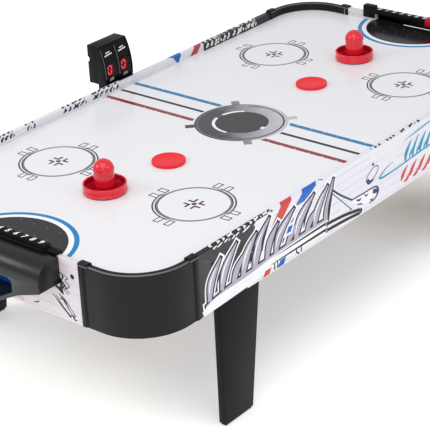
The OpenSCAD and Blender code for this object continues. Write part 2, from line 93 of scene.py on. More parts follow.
def add_softbox(name, place, aim, size, power, tint=(1, 1, 1)):
    lamp = bpy.data.lights.new(name, "AREA")
    lamp.shape = "RECTANGLE"
    lamp.size, lamp.size_y = size
    lamp.energy = power
    lamp.color = tint
    holder = bpy.data.objects.new(name, lamp)
    bpy.context.scene.collection.objects.link(holder)
    holder.location = place
    holder.rotation_euler = (Vector(aim) - Vector(place)).to_track_quat("-Z", "Y").to_euler()


def add_lights():
    scene = bpy.context.scene
    scene.view_settings.view_transform = "Standard"
    world = bpy.data.worlds.new("studio")
    scene.world = world
    world.use_nodes = True
    background = world.node_tree.nodes["Background"]
    background.inputs["Color"].default_value = (0.97, 0.98, 1.0, 1)
    background.inputs["Strength"].default_value = 0.66
    add_softbox("overhead", (-1.1, -0.6, 2.3), (-0.4, -0.15, 0.2), (2.0, 2.0), 21)
    add_softbox("left_box", (-2.0, 1.6, 1.7), (0, 0, 0.25), (0.9, 0.9), 12)
    add_softbox("right_box", (0.2, -2.4, 1.6), (0, 0, 0.25), (0.8, 0.8), 5)
    add_softbox("front_box", (-2.3, -1.5, 1.3), (0, 0, 0.2), (0.7, 0.7), 4)


# ------------------------------------------------------------------ finishes
def srgb(red, green, blue):
    """A colour in 0 to 255 steps as the linear value that a shader takes."""
    steps = [(c / 255) for c in (red, green, blue)]
    return (*[c / 12.92 if c <= 0.04045 else ((c + 0.055) / 1.055) ** 2.4 for c in steps], 1.0)


class Wire:
    """One value in a material. Arithmetic on it adds Math nodes."""

    def __init__(self, finish, socket):
        self.finish = finish
        self.socket = socket

    def math(self, operation, *values):
        return self.finish.add("Math", {"operation": operation}, self, *values)

    def __add__(self, other):
        return self.math("ADD", other)

    __radd__ = __add__

    def __sub__(self, other):
        return self.math("SUBTRACT", other)

    def __rsub__(self, other):
        return self.finish.add("Math", {"operation": "SUBTRACT"}, other, self)

    def __mul__(self, other):
        return self.math("MULTIPLY", other)

    __rmul__ = __mul__

    def __truediv__(self, other):
        return self.math("DIVIDE", other)

    def __abs__(self):
        return self.math("ABSOLUTE")

    def __lt__(self, other):
        return self.math("LESS_THAN", other)

    def __gt__(self, other):
        return self.math("GREATER_THAN", other)

    def between(self, low, high):
        return (self > low) * (self < high)

    def either(self, other):
        return self.math("MAXIMUM", other)

    def clamped(self):
        return self.finish.add("Clamp", {}, self)


class Finish:
    """A material round one Principled shader. What varies goes through add() and set()."""

    def __init__(self, name, **uniform):
        self.material = bpy.data.materials.new(name)
        self.material.use_nodes = True
        self.tree = self.material.node_tree
        self.tree.nodes.clear()
        self.shader = self.tree.nodes.new("ShaderNodeBsdfPrincipled")
        output = self.tree.nodes.new("ShaderNodeOutputMaterial")
        self.tree.links.new(self.shader.outputs[0], output.inputs["Surface"])
        self.place = self.add("TexCoord", {}, out="Object")
        for key, value in uniform.items():
            self.set(key.replace("_", " "), value)

    def feed(self, socket, value):
        if isinstance(value, Wire):
            self.tree.links.new(value.socket, socket)
        else:
            socket.default_value = value

    def add(self, kind, settings, *values, out=0, **named):
        node = self.tree.nodes.new("ShaderNode" + kind)
        for key, value in settings.items():
            setattr(node, key, value)
        for key, value in [*enumerate(values), *named.items()]:
            self.feed(node.inputs[key], value)
        return Wire(self, node.outputs[out])

    def set(self, socket, value):
        self.feed(self.shader.inputs[socket], value)

    def axes(self):
        """X, Y and Z in millimetres from the middle of the playing surface."""
        parts = [self.add("SeparateXYZ", {}, self.place, out=i) for i in range(3)]
        return parts[0] * 1000, (parts[1] - MID_Y) * 1000, (parts[2] - PLAY) * 1000

    def noise(self, scale, detail=2.0, stretch=None):
        place = self.place
        if stretch:
            place = self.add("Mapping", {}, place, Scale=stretch)
        return self.add("TexNoise", {}, Vector=place, Scale=scale, Detail=detail)

    def mix(self, first, second, factor):
        node = self.add("Mix", {"data_type": "RGBA"}, factor, out=2)
        inputs = node.socket.node.inputs
        self.feed(inputs[6], first)
        self.feed(inputs[7], second)
        return node

    def bump(self, height, strength, distance=0.0002):
        self.set("Normal", self.add("Bump", {}, Strength=strength, Distance=distance, Height=height))


def shade(colour, factor):
    return (*[min(1.0, c * factor) for c in colour[:3]], 1.0)


def moulded(name, colour, roughness, grain=0.08, coat=0.0, mottle=0.16, gloss=0.2, rim=False):
    """Moulded plastic: flow marks, fine texture and rubbed patches, and with rim a painted highlight along
    the upper edge.
    """
    finish = Finish(name, IOR=1.5, Specular_IOR_Level=gloss)
    flow = finish.noise(9, 3, stretch=(1, 1, 2.5))
    speck = finish.noise(900, 2)
    rub = ((finish.noise(38, 4) - 0.52) * 3).clamped()
    base = finish.mix(shade(colour, 1 - mottle), shade(colour, 1 + mottle), flow)
    base = finish.mix(base, shade(colour, 1.35), rub * 0.25)
    # Painted highlight: a lighter band along the rounded top edge, where it would catch the light.
    if rim:
        height = finish.axes()[2]
        painted_highlight = height.between(WALL_H - 1.2, WALL_H + 0.5) * (0.4 + flow)
        base = finish.mix(base, srgb(104, 106, 112), painted_highlight.clamped())
    finish.set("Base Color", base)
    finish.set("Roughness", (speck - 0.5) * 0.16 + roughness - rub * 0.08)
    if coat:
        finish.set("Coat Weight", coat)
        finish.set("Coat Roughness", 0.06)
    finish.bump(finish.noise(1700, 2) + flow * 0.2, grain)
    return finish.material


def ink(name, colour, roughness=0.34):
    """Printed ink: slightly uneven in depth, with the sheen of the film on it."""
    finish = Finish(name, IOR=1.45, Specular_IOR_Level=0.25)
    cloud = finish.noise(55, 4)
    fleck = finish.noise(1400, 2)
    finish.set("Base Color", finish.mix(shade(colour, 0.86), shade(colour, 1.1), cloud * 0.7 + fleck * 0.3))
    finish.set("Roughness", (fleck - 0.5) * 0.1 + roughness)
    finish.bump(fleck, 0.05)
    return finish.material


def field_finish():
    """The printed playing surface: lines, creases, face-off rings and the centre emblem on glossy white."""
    finish = Finish("field_print", IOR=1.5, Specular_IOR_Level=0.3)
    x, y, z = finish.axes()
    cloud = finish.noise(6, 3)
    fine = finish.noise(700, 2)
    colour = finish.mix(srgb(233, 233, 236), srgb(239, 239, 241), cloud)

    def lay(ink_colour, mask):
        nonlocal colour
        colour = finish.mix(colour, ink_colour, mask)

    def length(a, b):
        return (a * a + b * b).math("SQRT")

    # Middle lines, kept clear of the emblem
    emblem_y = -6.0
    from_middle = length(x, y - emblem_y)
    clear = from_middle > 76.5
    for centre, half, tone in ((-34.4, 4.6, srgb(146, 50, 62)), (0, 3.3, srgb(26, 24, 26)),
                               (34.4, 4.6, srgb(40, 118, 168))):
        lay(tone, (abs(x - centre) < half) * clear)

    # Creases: black half discs with a white and a blue ring
    crease = length(abs(x) - OUTER_L, y)
    lay(srgb(0, 126, 188), crease < 102.2)
    lay(srgb(247, 247, 249), crease < 95.0)
    lay(finish.mix(srgb(22, 20, 23), srgb(34, 32, 35), fine), crease < 87.4)

    # A pale rim round each air hole, plain to see on the black creases
    from_hole = length(((x / HOLE_PITCH).math("FRACT") - 0.5) * HOLE_PITCH,
                       ((y / HOLE_PITCH).math("FRACT") - 0.5) * HOLE_PITCH)
    rim = (from_hole < 1.15) * (finish.noise(30, 2) > 0.42)
    lay(srgb(126, 112, 114), rim * (crease < 87))
    lay(srgb(227, 226, 230), rim * (crease > 103))

    # Face-off rings, drawn in each spot's own axes
    across = x - x.math("SIGN") * 266.2
    along = y - y.math("SIGN") * 131.9
    ring = length(across, along)
    side = (across * along) < 0
    lay(srgb(138, 138, 142), ring.between(51.1, 55.4))
    lay(srgb(92, 92, 96), ring.between(51.1, 52.4))
    lay(srgb(72, 72, 76), ring.between(53.2, 55.4) * side)
    lay(srgb(44, 44, 48), ring.between(57.6, 60.0) * side)
    wide = abs(across).math("MAXIMUM", abs(along))
    narrow = abs(across).math("MINIMUM", abs(along))
    box = (wide - 65).math("ABSOLUTE") - 8
    box = box.math("MAXIMUM", abs(narrow - 9.6) - 5.2)
    lay(srgb(46, 46, 50), box.between(-2.0, 0) * (ring > 55.4))
    lay(srgb(110, 110, 114), wide.between(56.4, 58) * (narrow < 4.6))
    arm = (wide.between(3.2, 15.0) * narrow.between(3.2, 7.0)) * (wide - narrow * 0.5 < 12.6)
    lay(srgb(94, 40, 48), arm)
    lay(srgb(60, 44, 48), (abs(across) + abs(along)) < 4.8)

    # Centre emblem: a brushed ring with four tabs round a dark disc
    turn = (x * 0.7071 + (y - emblem_y) * 0.7071, x * 0.7071 - (y - emblem_y) * 0.7071)
    tab = abs(turn[0]).math("MAXIMUM", abs(turn[1])).between(60, 88)
    tab = tab * (abs(turn[0]).math("MINIMUM", abs(turn[1])) < 6.5)
    height = ((y - emblem_y) * 0.0085 - x * 0.0075 + 0.62 + (finish.noise(60, 4) - 0.5) * 0.5).clamped()
    metal = finish.mix(srgb(196, 193, 200), srgb(66, 64, 74), height)
    metal = finish.mix(metal, srgb(60, 58, 66), (finish.noise(900, 3) - 0.5).clamped() * 0.9)
    lay(metal, (from_middle < 73.5).either(tab))
    lay(srgb(28, 26, 30), from_middle.between(65.0, 67.6) * ((y - x * 0.6 + 10) < 0))
    lay(srgb(128, 126, 134), from_middle.between(68.4, 69.6) * ((y - x * 0.6) > 0))
    lay(srgb(246, 246, 247), from_middle.between(40, 46) * (abs(x) > 7) * ((y - x * 0.35) > 4))
    lay(srgb(50, 48, 50), length(x, y - emblem_y + 1) < 42)
    disc = finish.mix(srgb(44, 44, 43), srgb(56, 56, 55), finish.noise(30, 3))
    lay(disc, length(x, y - emblem_y + 1) < 40.4)
    lay(srgb(240, 240, 242), (abs(x) < 4) * (y - emblem_y).between(-45, -38.5))

    finish.set("Base Color", colour)
    finish.set("Roughness", (fine - 0.5) * 0.08 + (cloud - 0.5) * 0.08 + 0.2)
    finish.bump(finish.noise(260, 3), 0.04)
    return finish.material


def plank_finish(name, zones, light=srgb(237, 235, 240), dark=srgb(220, 217, 226)):
    """Rail laminate: pale printed planks with pencil seams, under the solid areas of zones()."""
    finish = Finish(name, IOR=1.48, Specular_IOR_Level=0.3)
    x, y, z = finish.axes()
    run = finish.noise(5, 3)
    fibre = finish.noise(60, 5, stretch=(0.12, 0.12, 3.0))
    colour = finish.mix(dark, light, fibre * 0.7 + run * 0.3)
    row = (z + 1.5 + (run - 0.5) * 5) / 13.2
    side = z < WALL_H - 0.8
    seam = (abs(row.math("FRACT") - 0.5) < 0.032) * side
    broken = finish.noise(14, 4, stretch=(1, 1, 6)) > 0.47
    colour = finish.mix(colour, srgb(186, 183, 192), seam * broken * 0.85)
    thin = abs((row * 2.7).math("FRACT") - 0.5) < 0.03
    thin = thin * (finish.noise(22, 3, stretch=(1, 1, 9)) > 0.58) * side
    colour = finish.mix(colour, srgb(205, 202, 212), thin * 0.8)
    for tone, mask in zones(finish, x, y, z):
        colour = finish.mix(colour, tone, mask)
    fleck = finish.noise(1100, 2)
    finish.set("Base Color", colour)
    finish.set("Roughness", (fleck - 0.5) * 0.1 + 0.36 + (run - 0.5) * 0.1)
    finish.bump(fibre * 0.5 + fleck * 0.5, 0.08)
    return finish.material


def right_zones(finish, x, y, z):
    """Solid colours of the graphics side: they run down from the rail's top over its outer face."""
    edge = (z - WALL_H) + (OUTER_W - abs(y))
    slate = finish.mix(srgb(38, 38, 39), srgb(56, 56, 57), finish.noise(40, 4))
    yield slate, (edge < 0.2) * (x + 283 - edge * 0.25 < 0)
    yield slate, (edge < 0.2) * (x > 352)
    yield srgb(34, 33, 37), (edge > 0.2) * ((x < -243).either(x > 330))
    yield srgb(204, 66, 58), (x + 227 - edge * 0.95 > 0) * (x + 202 - edge * 1.05 < 0) * (edge > -24)
    yield srgb(4, 100, 190), (x + 178 - edge * 1.2 > 0) * (x + 145 - edge * 1.3 < 0) * (edge > -14)
    yield srgb(204, 66, 58), (x - 262 - edge * 0.6 > 0) * (x - 288 - edge * 0.7 < 0) * (edge > -20)
    yield srgb(4, 100, 190), (x - 306 - edge * 0.8 > 0) * (x - 330 - edge * 0.8 < 0) * (edge > -30)


def left_zones(finish, x, y, z):
    """Solid colours of the scoreboard side: they run from the rail's top down its inner face."""
    depth = (OUTER_W - abs(y)) + (WALL_H - z)
    black = srgb(36, 35, 38)
    yield black, (x > 363) * (depth < 30)
    yield black, (x > 213) * (x < 364) * (depth < 30)
    yield black, (x > 2) * (x < 37) * (depth < 3.5)
    yield srgb(26, 98, 178), (x - 125 - depth * 0.75 > 0) * (x - 158 + depth * 0.55 < 0) * (depth < 21)
    yield srgb(178, 62, 62), (x - 196 + depth * 0.95 > 0) * (x - 214 + depth * 0.9 < 0) * (depth < 21)
    slate = srgb(64, 64, 66)
    yield slate, (x < -330) * (z < -2)


def end_zones(finish, x, y, z):
    """The goal's sill is black."""
    yield srgb(24, 23, 25), z.between(-3, 1.2) * (abs(y) < 84) * (abs(x) < OUTER_L - 0.4)


def board_finish(name, light, dark, roughness=0.75):
    """Bare fibreboard: short fibres and a dusty, uneven tone."""
    finish = Finish(name, IOR=1.4)
    fibre = finish.noise(420, 4, stretch=(0.35, 1, 1))
    cloud = finish.noise(12, 3)
    finish.set("Base Color", finish.mix(dark, light, fibre * 0.6 + cloud * 0.4))
    finish.set("Roughness", (fibre - 0.5) * 0.2 + roughness)
    finish.bump(fibre, 0.25)
    return finish.material


def leg_finish():
    """Black laminate with faint pores and a lighter rub along the board."""
    finish = Finish("black_laminate", IOR=1.48, Specular_IOR_Level=0.12)
    pores = finish.noise(240, 4, stretch=(1, 1, 0.12))
    cloud = finish.noise(10, 3)
    finish.set("Base Color", finish.mix(srgb(11, 11, 12), srgb(27, 27, 28), pores * 0.6 + cloud * 0.4))
    finish.set("Roughness", (pores - 0.5) * 0.2 + 0.46)
    finish.bump(pores, 0.1)
    return finish.material


def metal_finish(name, colour, roughness):
    finish = Finish(name, Metallic=1.0)
    brushed = finish.noise(500, 3, stretch=(1, 1, 0.2))
    stain = finish.noise(80, 3)
    tone = brushed * 0.5 + stain * 0.5
    finish.set("Base Color", finish.mix(shade(colour, 0.75), shade(colour, 1.1), tone))
    finish.set("Roughness", (brushed - 0.5) * 0.25 + roughness)
    finish.bump(brushed, 0.08)
    return finish.material


def felt_finish():
    finish = Finish("felt", Sheen_Weight=0.4, IOR=1.3)
    hair = finish.noise(1600, 4)
    clump = finish.noise(120, 3)
    finish.set("Base Color", finish.mix(srgb(40, 40, 42), srgb(84, 84, 88), hair * 0.6 + clump * 0.4))
    finish.set("Roughness", (hair - 0.5) * 0.1 + 0.92)
    finish.bump(hair, 0.6)
    return finish.material


def window_finish():
    """Smoked front window: nearly black, with a dull red tint and a soft gloss."""
    finish = Finish("smoked_window", IOR=1.5, Alpha=0.45, Specular_IOR_Level=0.3, Emission_Strength=1.0)
    x, y, z = finish.axes()
    cloud = finish.noise(120, 3)
    finish.set("Base Color", finish.mix(srgb(14, 12, 14), srgb(24, 19, 21), cloud))
    # Painted glow: the red light of the lit segments, spread into the window round each digit.
    across = abs(abs(x - 12.5) - 16.5)
    along = abs(z - DIGIT_Z) * 0.62
    glow = (1 - (across * across + along * along).math("SQRT") / 9.5).clamped()
    finish.set("Emission Color", finish.mix(srgb(0, 0, 0), srgb(120, 8, 22), glow.math("POWER", 1.4)))
    finish.set("Roughness", (cloud - 0.5) * 0.1 + 0.22)
    finish.bump(finish.noise(900, 2), 0.03)
    return finish.material


def lamp_finish():
    """A lit display segment, its glow uneven in a fine mottle."""
    finish = Finish("lit_segment", IOR=1.45, Emission_Strength=4.5)
    cell = finish.noise(700, 2)
    finish.set("Base Color", finish.mix(srgb(200, 30, 36), srgb(240, 60, 66), cell))
    finish.set("Emission Color", finish.mix(srgb(250, 40, 50), srgb(255, 84, 88), cell))
    finish.set("Roughness", (cell - 0.5) * 0.1 + 0.4)
    return finish.material


def make_finishes():
    red = srgb(228, 24, 44)
    return {
        "black_plastic": moulded("black_plastic", srgb(26, 26, 27), 0.34, grain=0.1),
        "corner_plastic": moulded("corner_plastic", srgb(20, 20, 21), 0.34, grain=0.1, rim=True),
        "hood_plastic": moulded("hood_plastic", srgb(6, 6, 7), 0.32, grain=0.05, mottle=0.1, gloss=0.5),
        "board_black": moulded("board_black", srgb(14, 14, 15), 0.42, grain=0.14, gloss=0.12),
        # A darker red for the inside of the pusher's dish: painted shade.
        "red_painted_shade": moulded("red_painted_shade", srgb(176, 4, 34), 0.3, grain=0.02, mottle=0.1),
        # A light grey for the display panels' left edges: painted highlight.
        "painted_edge_highlight": ink("painted_edge_highlight", srgb(150, 150, 156)),
        "red_gloss": moulded("red_gloss", red, 0.2, grain=0.02, coat=0.3, mottle=0.05, gloss=0.5),
        "red_plastic": moulded("red_plastic", srgb(238, 42, 52), 0.4, grain=0.06, mottle=0.06),
        "slider_red": moulded("slider_red", srgb(190, 24, 42), 0.35, grain=0.05, mottle=0.08),
        "grey_plastic": moulded("grey_plastic", srgb(92, 92, 95), 0.5),
        "white_plastic": moulded("white_plastic", srgb(226, 226, 228), 0.45, mottle=0.05),
        "field": field_finish(),
        "hole": board_finish("cut_board", srgb(214, 204, 186), srgb(170, 156, 134)),
        "right": plank_finish("rail_print_right", right_zones),
        "left": plank_finish("rail_print_left", left_zones),
        "ends": plank_finish("rail_print_ends", end_zones, srgb(232, 224, 228), srgb(212, 203, 209)),
        "raw_board": board_finish("raw_board", srgb(196, 184, 166), srgb(158, 144, 122)),
        "black_board": leg_finish(),
        "rubber": moulded("rubber", srgb(48, 48, 48), 0.85, grain=0.3),
        "steel": metal_finish("zinc_steel", (0.62, 0.63, 0.65, 1), 0.34),
        "dark_steel": metal_finish("black_oxide", (0.06, 0.06, 0.065, 1), 0.45),
        "felt": felt_finish(),
        "window": window_finish(),
        "segment": lamp_finish(),
        "unlit": moulded("unlit_segment", srgb(70, 22, 26), 0.5),
        "circuit": moulded("circuit_board", srgb(26, 92, 56), 0.3, grain=0.05, coat=0.3),
        "white_ink": ink("white_ink", srgb(243, 243, 245)),
        # Dark ink for the print, also laid as painted shadow beside the catcher hoods.
        "dark_ink_and_painted_shadow": ink("dark_ink_and_painted_shadow", srgb(28, 26, 30)),
        "lilac_ink": ink("lilac_ink", srgb(178, 172, 190)),
        "red_ink": ink("red_ink", srgb(206, 66, 60)),
        "blue_ink": ink("blue_ink", srgb(4, 96, 186)),
        "teal_ink": ink("teal_ink", srgb(10, 146, 182)),
        "navy_ink": ink("navy_ink", srgb(44, 62, 100)),
        "sand_ink": ink("sand_ink", srgb(214, 196, 176)),
    }


# ------------------------------------------------------------------ modelling helpers
def deselect():
    if bpy.context.mode != "OBJECT":
        bpy.ops.object.mode_set(mode="OBJECT")
    bpy.ops.object.select_all(action="DESELECT")


def pick(piece):
    deselect()
    piece.select_set(True)
    bpy.context.view_layer.objects.active = piece


def edit(piece):
    pick(piece)
    bpy.ops.object.mode_set(mode="EDIT")
    bpy.ops.mesh.select_all(action="SELECT")


def settle(piece, angle=35):
    """Closes an edit: place applied, edges shaded smooth up to an angle."""
    pick(piece)
    bpy.ops.object.transform_apply(location=True, rotation=True, scale=True)
    bpy.ops.object.shade_smooth_by_angle(angle=math.radians(angle))


def paint(piece, finish):
    piece.data.materials.clear()
    piece.data.materials.append(finish)


def seat(piece, body, slot, *nodes):
    """The piece rides on a body and stands for CAD nodes. The slot is not used."""
    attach(piece, body)
    if nodes:
        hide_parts(*nodes)


def first_point(name, place):
    """A mesh of one selected vertex, ready to be extruded."""
    deselect()
    bpy.ops.mesh.primitive_plane_add(size=MM, location=place)
    piece = bpy.context.object
    piece.name = name
    bpy.ops.object.mode_set(mode="EDIT")
    bpy.ops.mesh.select_mode(type="VERT")
    bpy.ops.mesh.select_all(action="SELECT")
    bpy.ops.mesh.merge(type="CENTER")
    return piece


def trace(points):
    """Extrudes the selected vertex from point to point."""
    for start, end in zip(points, points[1:]):
        bpy.ops.mesh.extrude_region_move(TRANSFORM_OT_translate={"value": end - start})


def tidy_shell():
    bpy.ops.mesh.select_all(action="SELECT")
    bpy.ops.mesh.remove_doubles(threshold=2e-6)
    bpy.ops.mesh.normals_make_consistent(inside=False)
    bpy.ops.object.mode_set(mode="OBJECT")


def lathe(name, profile, centre, steps=72):
    """Spins a profile of radius and height, in millimetres, round the vertical line at centre."""
    points = [centre + Vector((r * MM, 0, h * MM)) for r, h in profile]
    piece = first_point(name, points[0])
    trace(points)
    bpy.ops.mesh.select_all(action="SELECT")
    bpy.ops.mesh.spin(steps=steps, angle=2 * math.pi, center=centre, axis=(0, 0, 1))
    tidy_shell()
    settle(piece)
    return piece


def arc(cx, cy, radius, start, end, steps):
    """Points of an arc, in degrees."""
    turns = [math.radians(start + (end - start) * i / steps) for i in range(steps + 1)]
    return [(cx + radius * math.cos(t), cy + radius * math.sin(t)) for t in turns]


def block(name, low, high, bevel=0.0, segments=2):
    """A box between two corners in table millimetres, with its edges bevelled."""
    low, high = at(*low), at(*high)
    deselect()
    bpy.ops.mesh.primitive_cube_add(size=1, location=(low + high) / 2)
    piece = bpy.context.object
    piece.name = name
    piece.scale = high - low
    bpy.ops.object.transform_apply(location=True, rotation=True, scale=True)
    if bevel:
        edit(piece)
        bpy.ops.mesh.bevel(offset=bevel * MM, segments=segments, affect="EDGES")
        bpy.ops.object.mode_set(mode="OBJECT")
    return piece


def join(pieces, name):
    deselect()
    for piece in pieces:
        piece.select_set(True)
    bpy.context.view_layer.objects.active = pieces[0]
    bpy.ops.object.join()
    pieces[0].name = name
    return pieces[0]


def rounded(piece, width, segments, angle):
    """Rounds over the edges that are sharper than an angle."""
    pick(piece)
    rounding = piece.modifiers.new("rounding", "BEVEL")
    rounding.width = width * MM
    rounding.segments = segments
    rounding.limit_method = "ANGLE"
    rounding.angle_limit = math.radians(angle)
    rounding.use_clamp_overlap = True
    bpy.ops.object.modifier_apply(modifier="rounding")


def softened(node, name, width, segments=2, angle=40):
    """A CAD node's shape with its sharp edges rounded over."""
    piece = bpy.data.objects.new(name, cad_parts[node].data.copy())
    bpy.context.scene.collection.objects.link(piece)
    piece.data.materials.clear()
    edit(piece)
    bpy.ops.mesh.remove_doubles(threshold=2e-6)
    bpy.ops.mesh.dissolve_limited(angle_limit=math.radians(0.4))
    rounded(piece, width, segments, angle)
    settle(piece, 30)
    return piece


# ------------------------------------------------------------------ playing surface
def make_field():
    """A rounded board whose top is scored into cells, each crossing opened into a blind air hole."""
    half_l, half_w = (FIELD_HIGH.x - FIELD_LOW.x) / 2, (FIELD_HIGH.y - FIELD_LOW.y) / 2
    thickness = FIELD_HIGH.z - FIELD_LOW.z
    deselect()
    bpy.ops.mesh.primitive_plane_add(size=2, location=at(0, 0, 0))
    field = bpy.context.object
    field.name = "playing_surface"
    field.scale = (half_l, half_w, 1)
    bpy.ops.object.transform_apply(location=True, rotation=True, scale=True)
    edit(field)
    bpy.ops.mesh.bevel(offset=(CORNER_R - 0.1) * MM, segments=28, affect="VERTICES")
    columns = int((half_l / MM - 8) // HOLE_PITCH)
    rows = int((half_w / MM - 8) // HOLE_PITCH)
    xs = [(i + 0.5) * HOLE_PITCH for i in range(-columns, columns)]
    ys = [(i + 0.5) * HOLE_PITCH for i in range(-rows, rows)]
    for x in xs:
        bpy.ops.mesh.select_all(action="SELECT")
        bpy.ops.mesh.bisect(plane_co=at(x, 0, 0), plane_no=(1, 0, 0))
    for y in ys:
        bpy.ops.mesh.select_all(action="SELECT")
        bpy.ops.mesh.bisect(plane_co=at(0, y, 0), plane_no=(0, 1, 0))
    bpy.ops.mesh.select_mode(type="VERT")
    bpy.ops.mesh.select_all(action="DESELECT")
    bpy.ops.object.mode_set(mode="OBJECT")

    def drilled(place):
        x, y = abs(place.x) / MM, abs(place.y - MID_Y) / MM
        on_grid = all(abs(v / HOLE_PITCH % 1 - 0.5) < 0.004 for v in (x, y))
        past = math.hypot(max(0, x - ARC_X), max(0, y - ARC_Y))
        return on_grid and past < CORNER_R - 8 and x < INNER_L - 8 and y < INNER_W - 8

    for vertex in field.data.vertices:
        vertex.select = drilled(vertex.co)
    bpy.ops.object.mode_set(mode="EDIT")
    bpy.ops.mesh.bevel(offset=HOLE_R * MM, segments=2, affect="VERTICES")
    bpy.ops.mesh.select_mode(type="FACE")
    bpy.ops.mesh.select_all(action="DESELECT")
    bpy.ops.object.mode_set(mode="OBJECT")
    largest_hole = math.pi * (HOLE_R * MM) ** 2 * 1.3
    for face in field.data.polygons:
        face.select = face.area < largest_hole
    paint(field, finishes["field"])
    field.data.materials.append(finishes["hole"])
    bpy.ops.object.mode_set(mode="EDIT")
    field.active_material_index = 1
    bpy.ops.mesh.extrude_region_move(TRANSFORM_OT_translate={"value": (0, 0, -0.6 * thickness)})
    bpy.ops.object.material_slot_assign()
    bpy.ops.mesh.select_mode(type="EDGE")
    bpy.ops.mesh.select_all(action="DESELECT")
    bpy.ops.mesh.select_non_manifold(extend=False, use_wire=False, use_boundary=True, use_multi_face=False,
                                     use_non_contiguous=False, use_verts=False)
    bpy.ops.mesh.extrude_edges_move(TRANSFORM_OT_translate={"value": (0, 0, -thickness)})
    bpy.ops.mesh.edge_face_add()
    tidy_shell()
    settle(field)
    seat(field, "table", "field_print", "playfield")


# ------------------------------------------------------------------ moulded corners
def corner_wall_profile():
    """Closed outline of the corner wall: out from the playing side and up from the rail's lower edge."""
    h = RAIL_H + 1
    t = RAIL_T
    outline = [(0.0, 0.8), (0.8, 0.0), (t - 0.8, 0.0), (t, 0.8)]
    outline += [(t, 2.2), (t - 0.35, 2.6), (t - 0.35, 3.2), (t, 3.6)]
    outline += arc(t - 4, h - 4, 4, 0, 90, 8)
    outline += arc(2, h - 2, 2, 90, 180, 5)
    return outline


def collar_round():
    """The collar's rounded top, from its outer side to its inner side."""
    r = 3.0
    top = RAIL_H + COLLAR_RISE
    return arc(RAIL_T + 1.6 - r, top - r, r, 0, 90, 7) + arc(-1.5 + r, top - r, r, 90, 180, 7)


def collar_profile():
    """Closed outline of the sleeve over a rail's end: a cap with an outer and a short inner lip."""
    outline = [(RAIL_T + 0.1, 0.4), (RAIL_T + 1.2, 0.4), (RAIL_T + 1.6, 0.8)]
    outline += collar_round()
    outline += [(-1.5, 0.4 - RAIL_FOOT), (-0.1, 0.4 - RAIL_FOOT), (-0.1, RAIL_H + 0.15),
                (RAIL_T + 0.1, RAIL_H + 0.15)]
    return outline


def cap_profile():
    """Closed outline of the collar where it laps the corner itself: the top cap only."""
    low = RAIL_H - 2
    return [(-1.5, low), (RAIL_T + 1.6, low)] + collar_round()


def web_profile():
    """Closed outline of the floor of the groove between the sleeve and the wall."""
    inner, outer, low, high = RAIL_T + 0.1, RAIL_T + 0.8, 0.6, RAIL_H + 0.4
    return [(inner, low), (outer, low), (outer, high), (inner, high)]


def swept(name, profile, to_place, moves):
    """Draws a closed profile and carries it along: moves are ("go", vector) or ("turn", angle, centre)."""
    points = [to_place(u, v) for u, v in profile]
    piece = first_point(name, points[0])
    trace(points + [points[0]])
    bpy.ops.mesh.select_all(action="SELECT")
    bpy.ops.mesh.remove_doubles(threshold=2e-6)
    for move in moves:
        if move[0] == "go":
            bpy.ops.mesh.extrude_edges_move(TRANSFORM_OT_translate={"value": move[1]})
        else:
            bpy.ops.mesh.spin(steps=20, angle=move[1], center=move[2], axis=(0, 0, 1))
    bpy.ops.mesh.select_all(action="SELECT")
    bpy.ops.mesh.fill_holes(sides=0)
    tidy_shell()
    return piece


def make_corner():
    """The far left corner moulding; the other three are mirrored copies of it."""
    def along_side(x):
        return lambda u, v: at(x, INNER_W + u, RAIL_FOOT + v)

    def along_end(y):
        return lambda u, v: at(INNER_L + u, y, RAIL_FOOT + v)

    wall = swept("corner_wall", corner_wall_profile(), along_side(CORNER_END_X), [
        ("go", Vector(((ARC_X - CORNER_END_X) * MM, 0, 0))),
        ("turn", math.pi / 2, at(ARC_X, ARC_Y, 0)),
        ("go", Vector((0, -(ARC_Y - CORNER_END_Y) * MM, 0)))])
    parts = [wall]
    for place, start, step in ((along_side, CORNER_END_X, Vector((MM, 0, 0))),
                               (along_end, CORNER_END_Y, Vector((0, MM, 0)))):
        parts.append(swept("sleeve", collar_profile(), place(start - 9), [("go", step * 7.4)]))
        parts.append(swept("cap", cap_profile(), place(start - 1.7), [("go", step * 8.2)]))
        parts.append(swept("web", web_profile(), place(start - 1.9), [("go", step * 2.2)]))
    for part in parts[1:]:
        rounded(part, 0.6, 3, 60)
    return join(parts, "corner_moulding")


def make_corners():
    master = make_corner()
    for name, sx, sy in CORNERS:
        piece = master.copy()
        piece.data = master.data.copy()
        piece.name = "corner_moulding_" + name
        bpy.context.scene.collection.objects.link(piece)
        edit(piece)
        for sign, axis in ((sx, (True, False, False)), (sy, (False, True, False))):
            if sign < 0:
                bpy.ops.transform.mirror(constraint_axis=axis, center_override=at(0, 0, 0))
        bpy.ops.mesh.normals_make_consistent(inside=False)
        bpy.ops.object.mode_set(mode="OBJECT")
        settle(piece, 40)
        paint(piece, finishes["corner_plastic"])
        seat(piece, "table", "black_plastic", "corner_" + name)
    bpy.data.objects.remove(master)


# ------------------------------------------------------------------ printed graphics on the rails
def smooth_path(points, spans=6):
    """Points of a smooth curve through each given value, which may have any number of parts."""
    padded = [points[0], *points, points[-1]]
    path = []
    for a, b, c, d in zip(padded, padded[1:], padded[2:], padded[3:]):
        for i in range(spans):
            t = i / spans
            path.append(tuple(0.5 * (2 * q + (r - p) * t + (2 * p - 5 * q + 4 * r - s) * t * t
                                     + (3 * q - p - 3 * r + s) * t ** 3) for p, q, r, s in zip(a, b, c, d)))
    path.append(tuple(points[-1]))
    return path


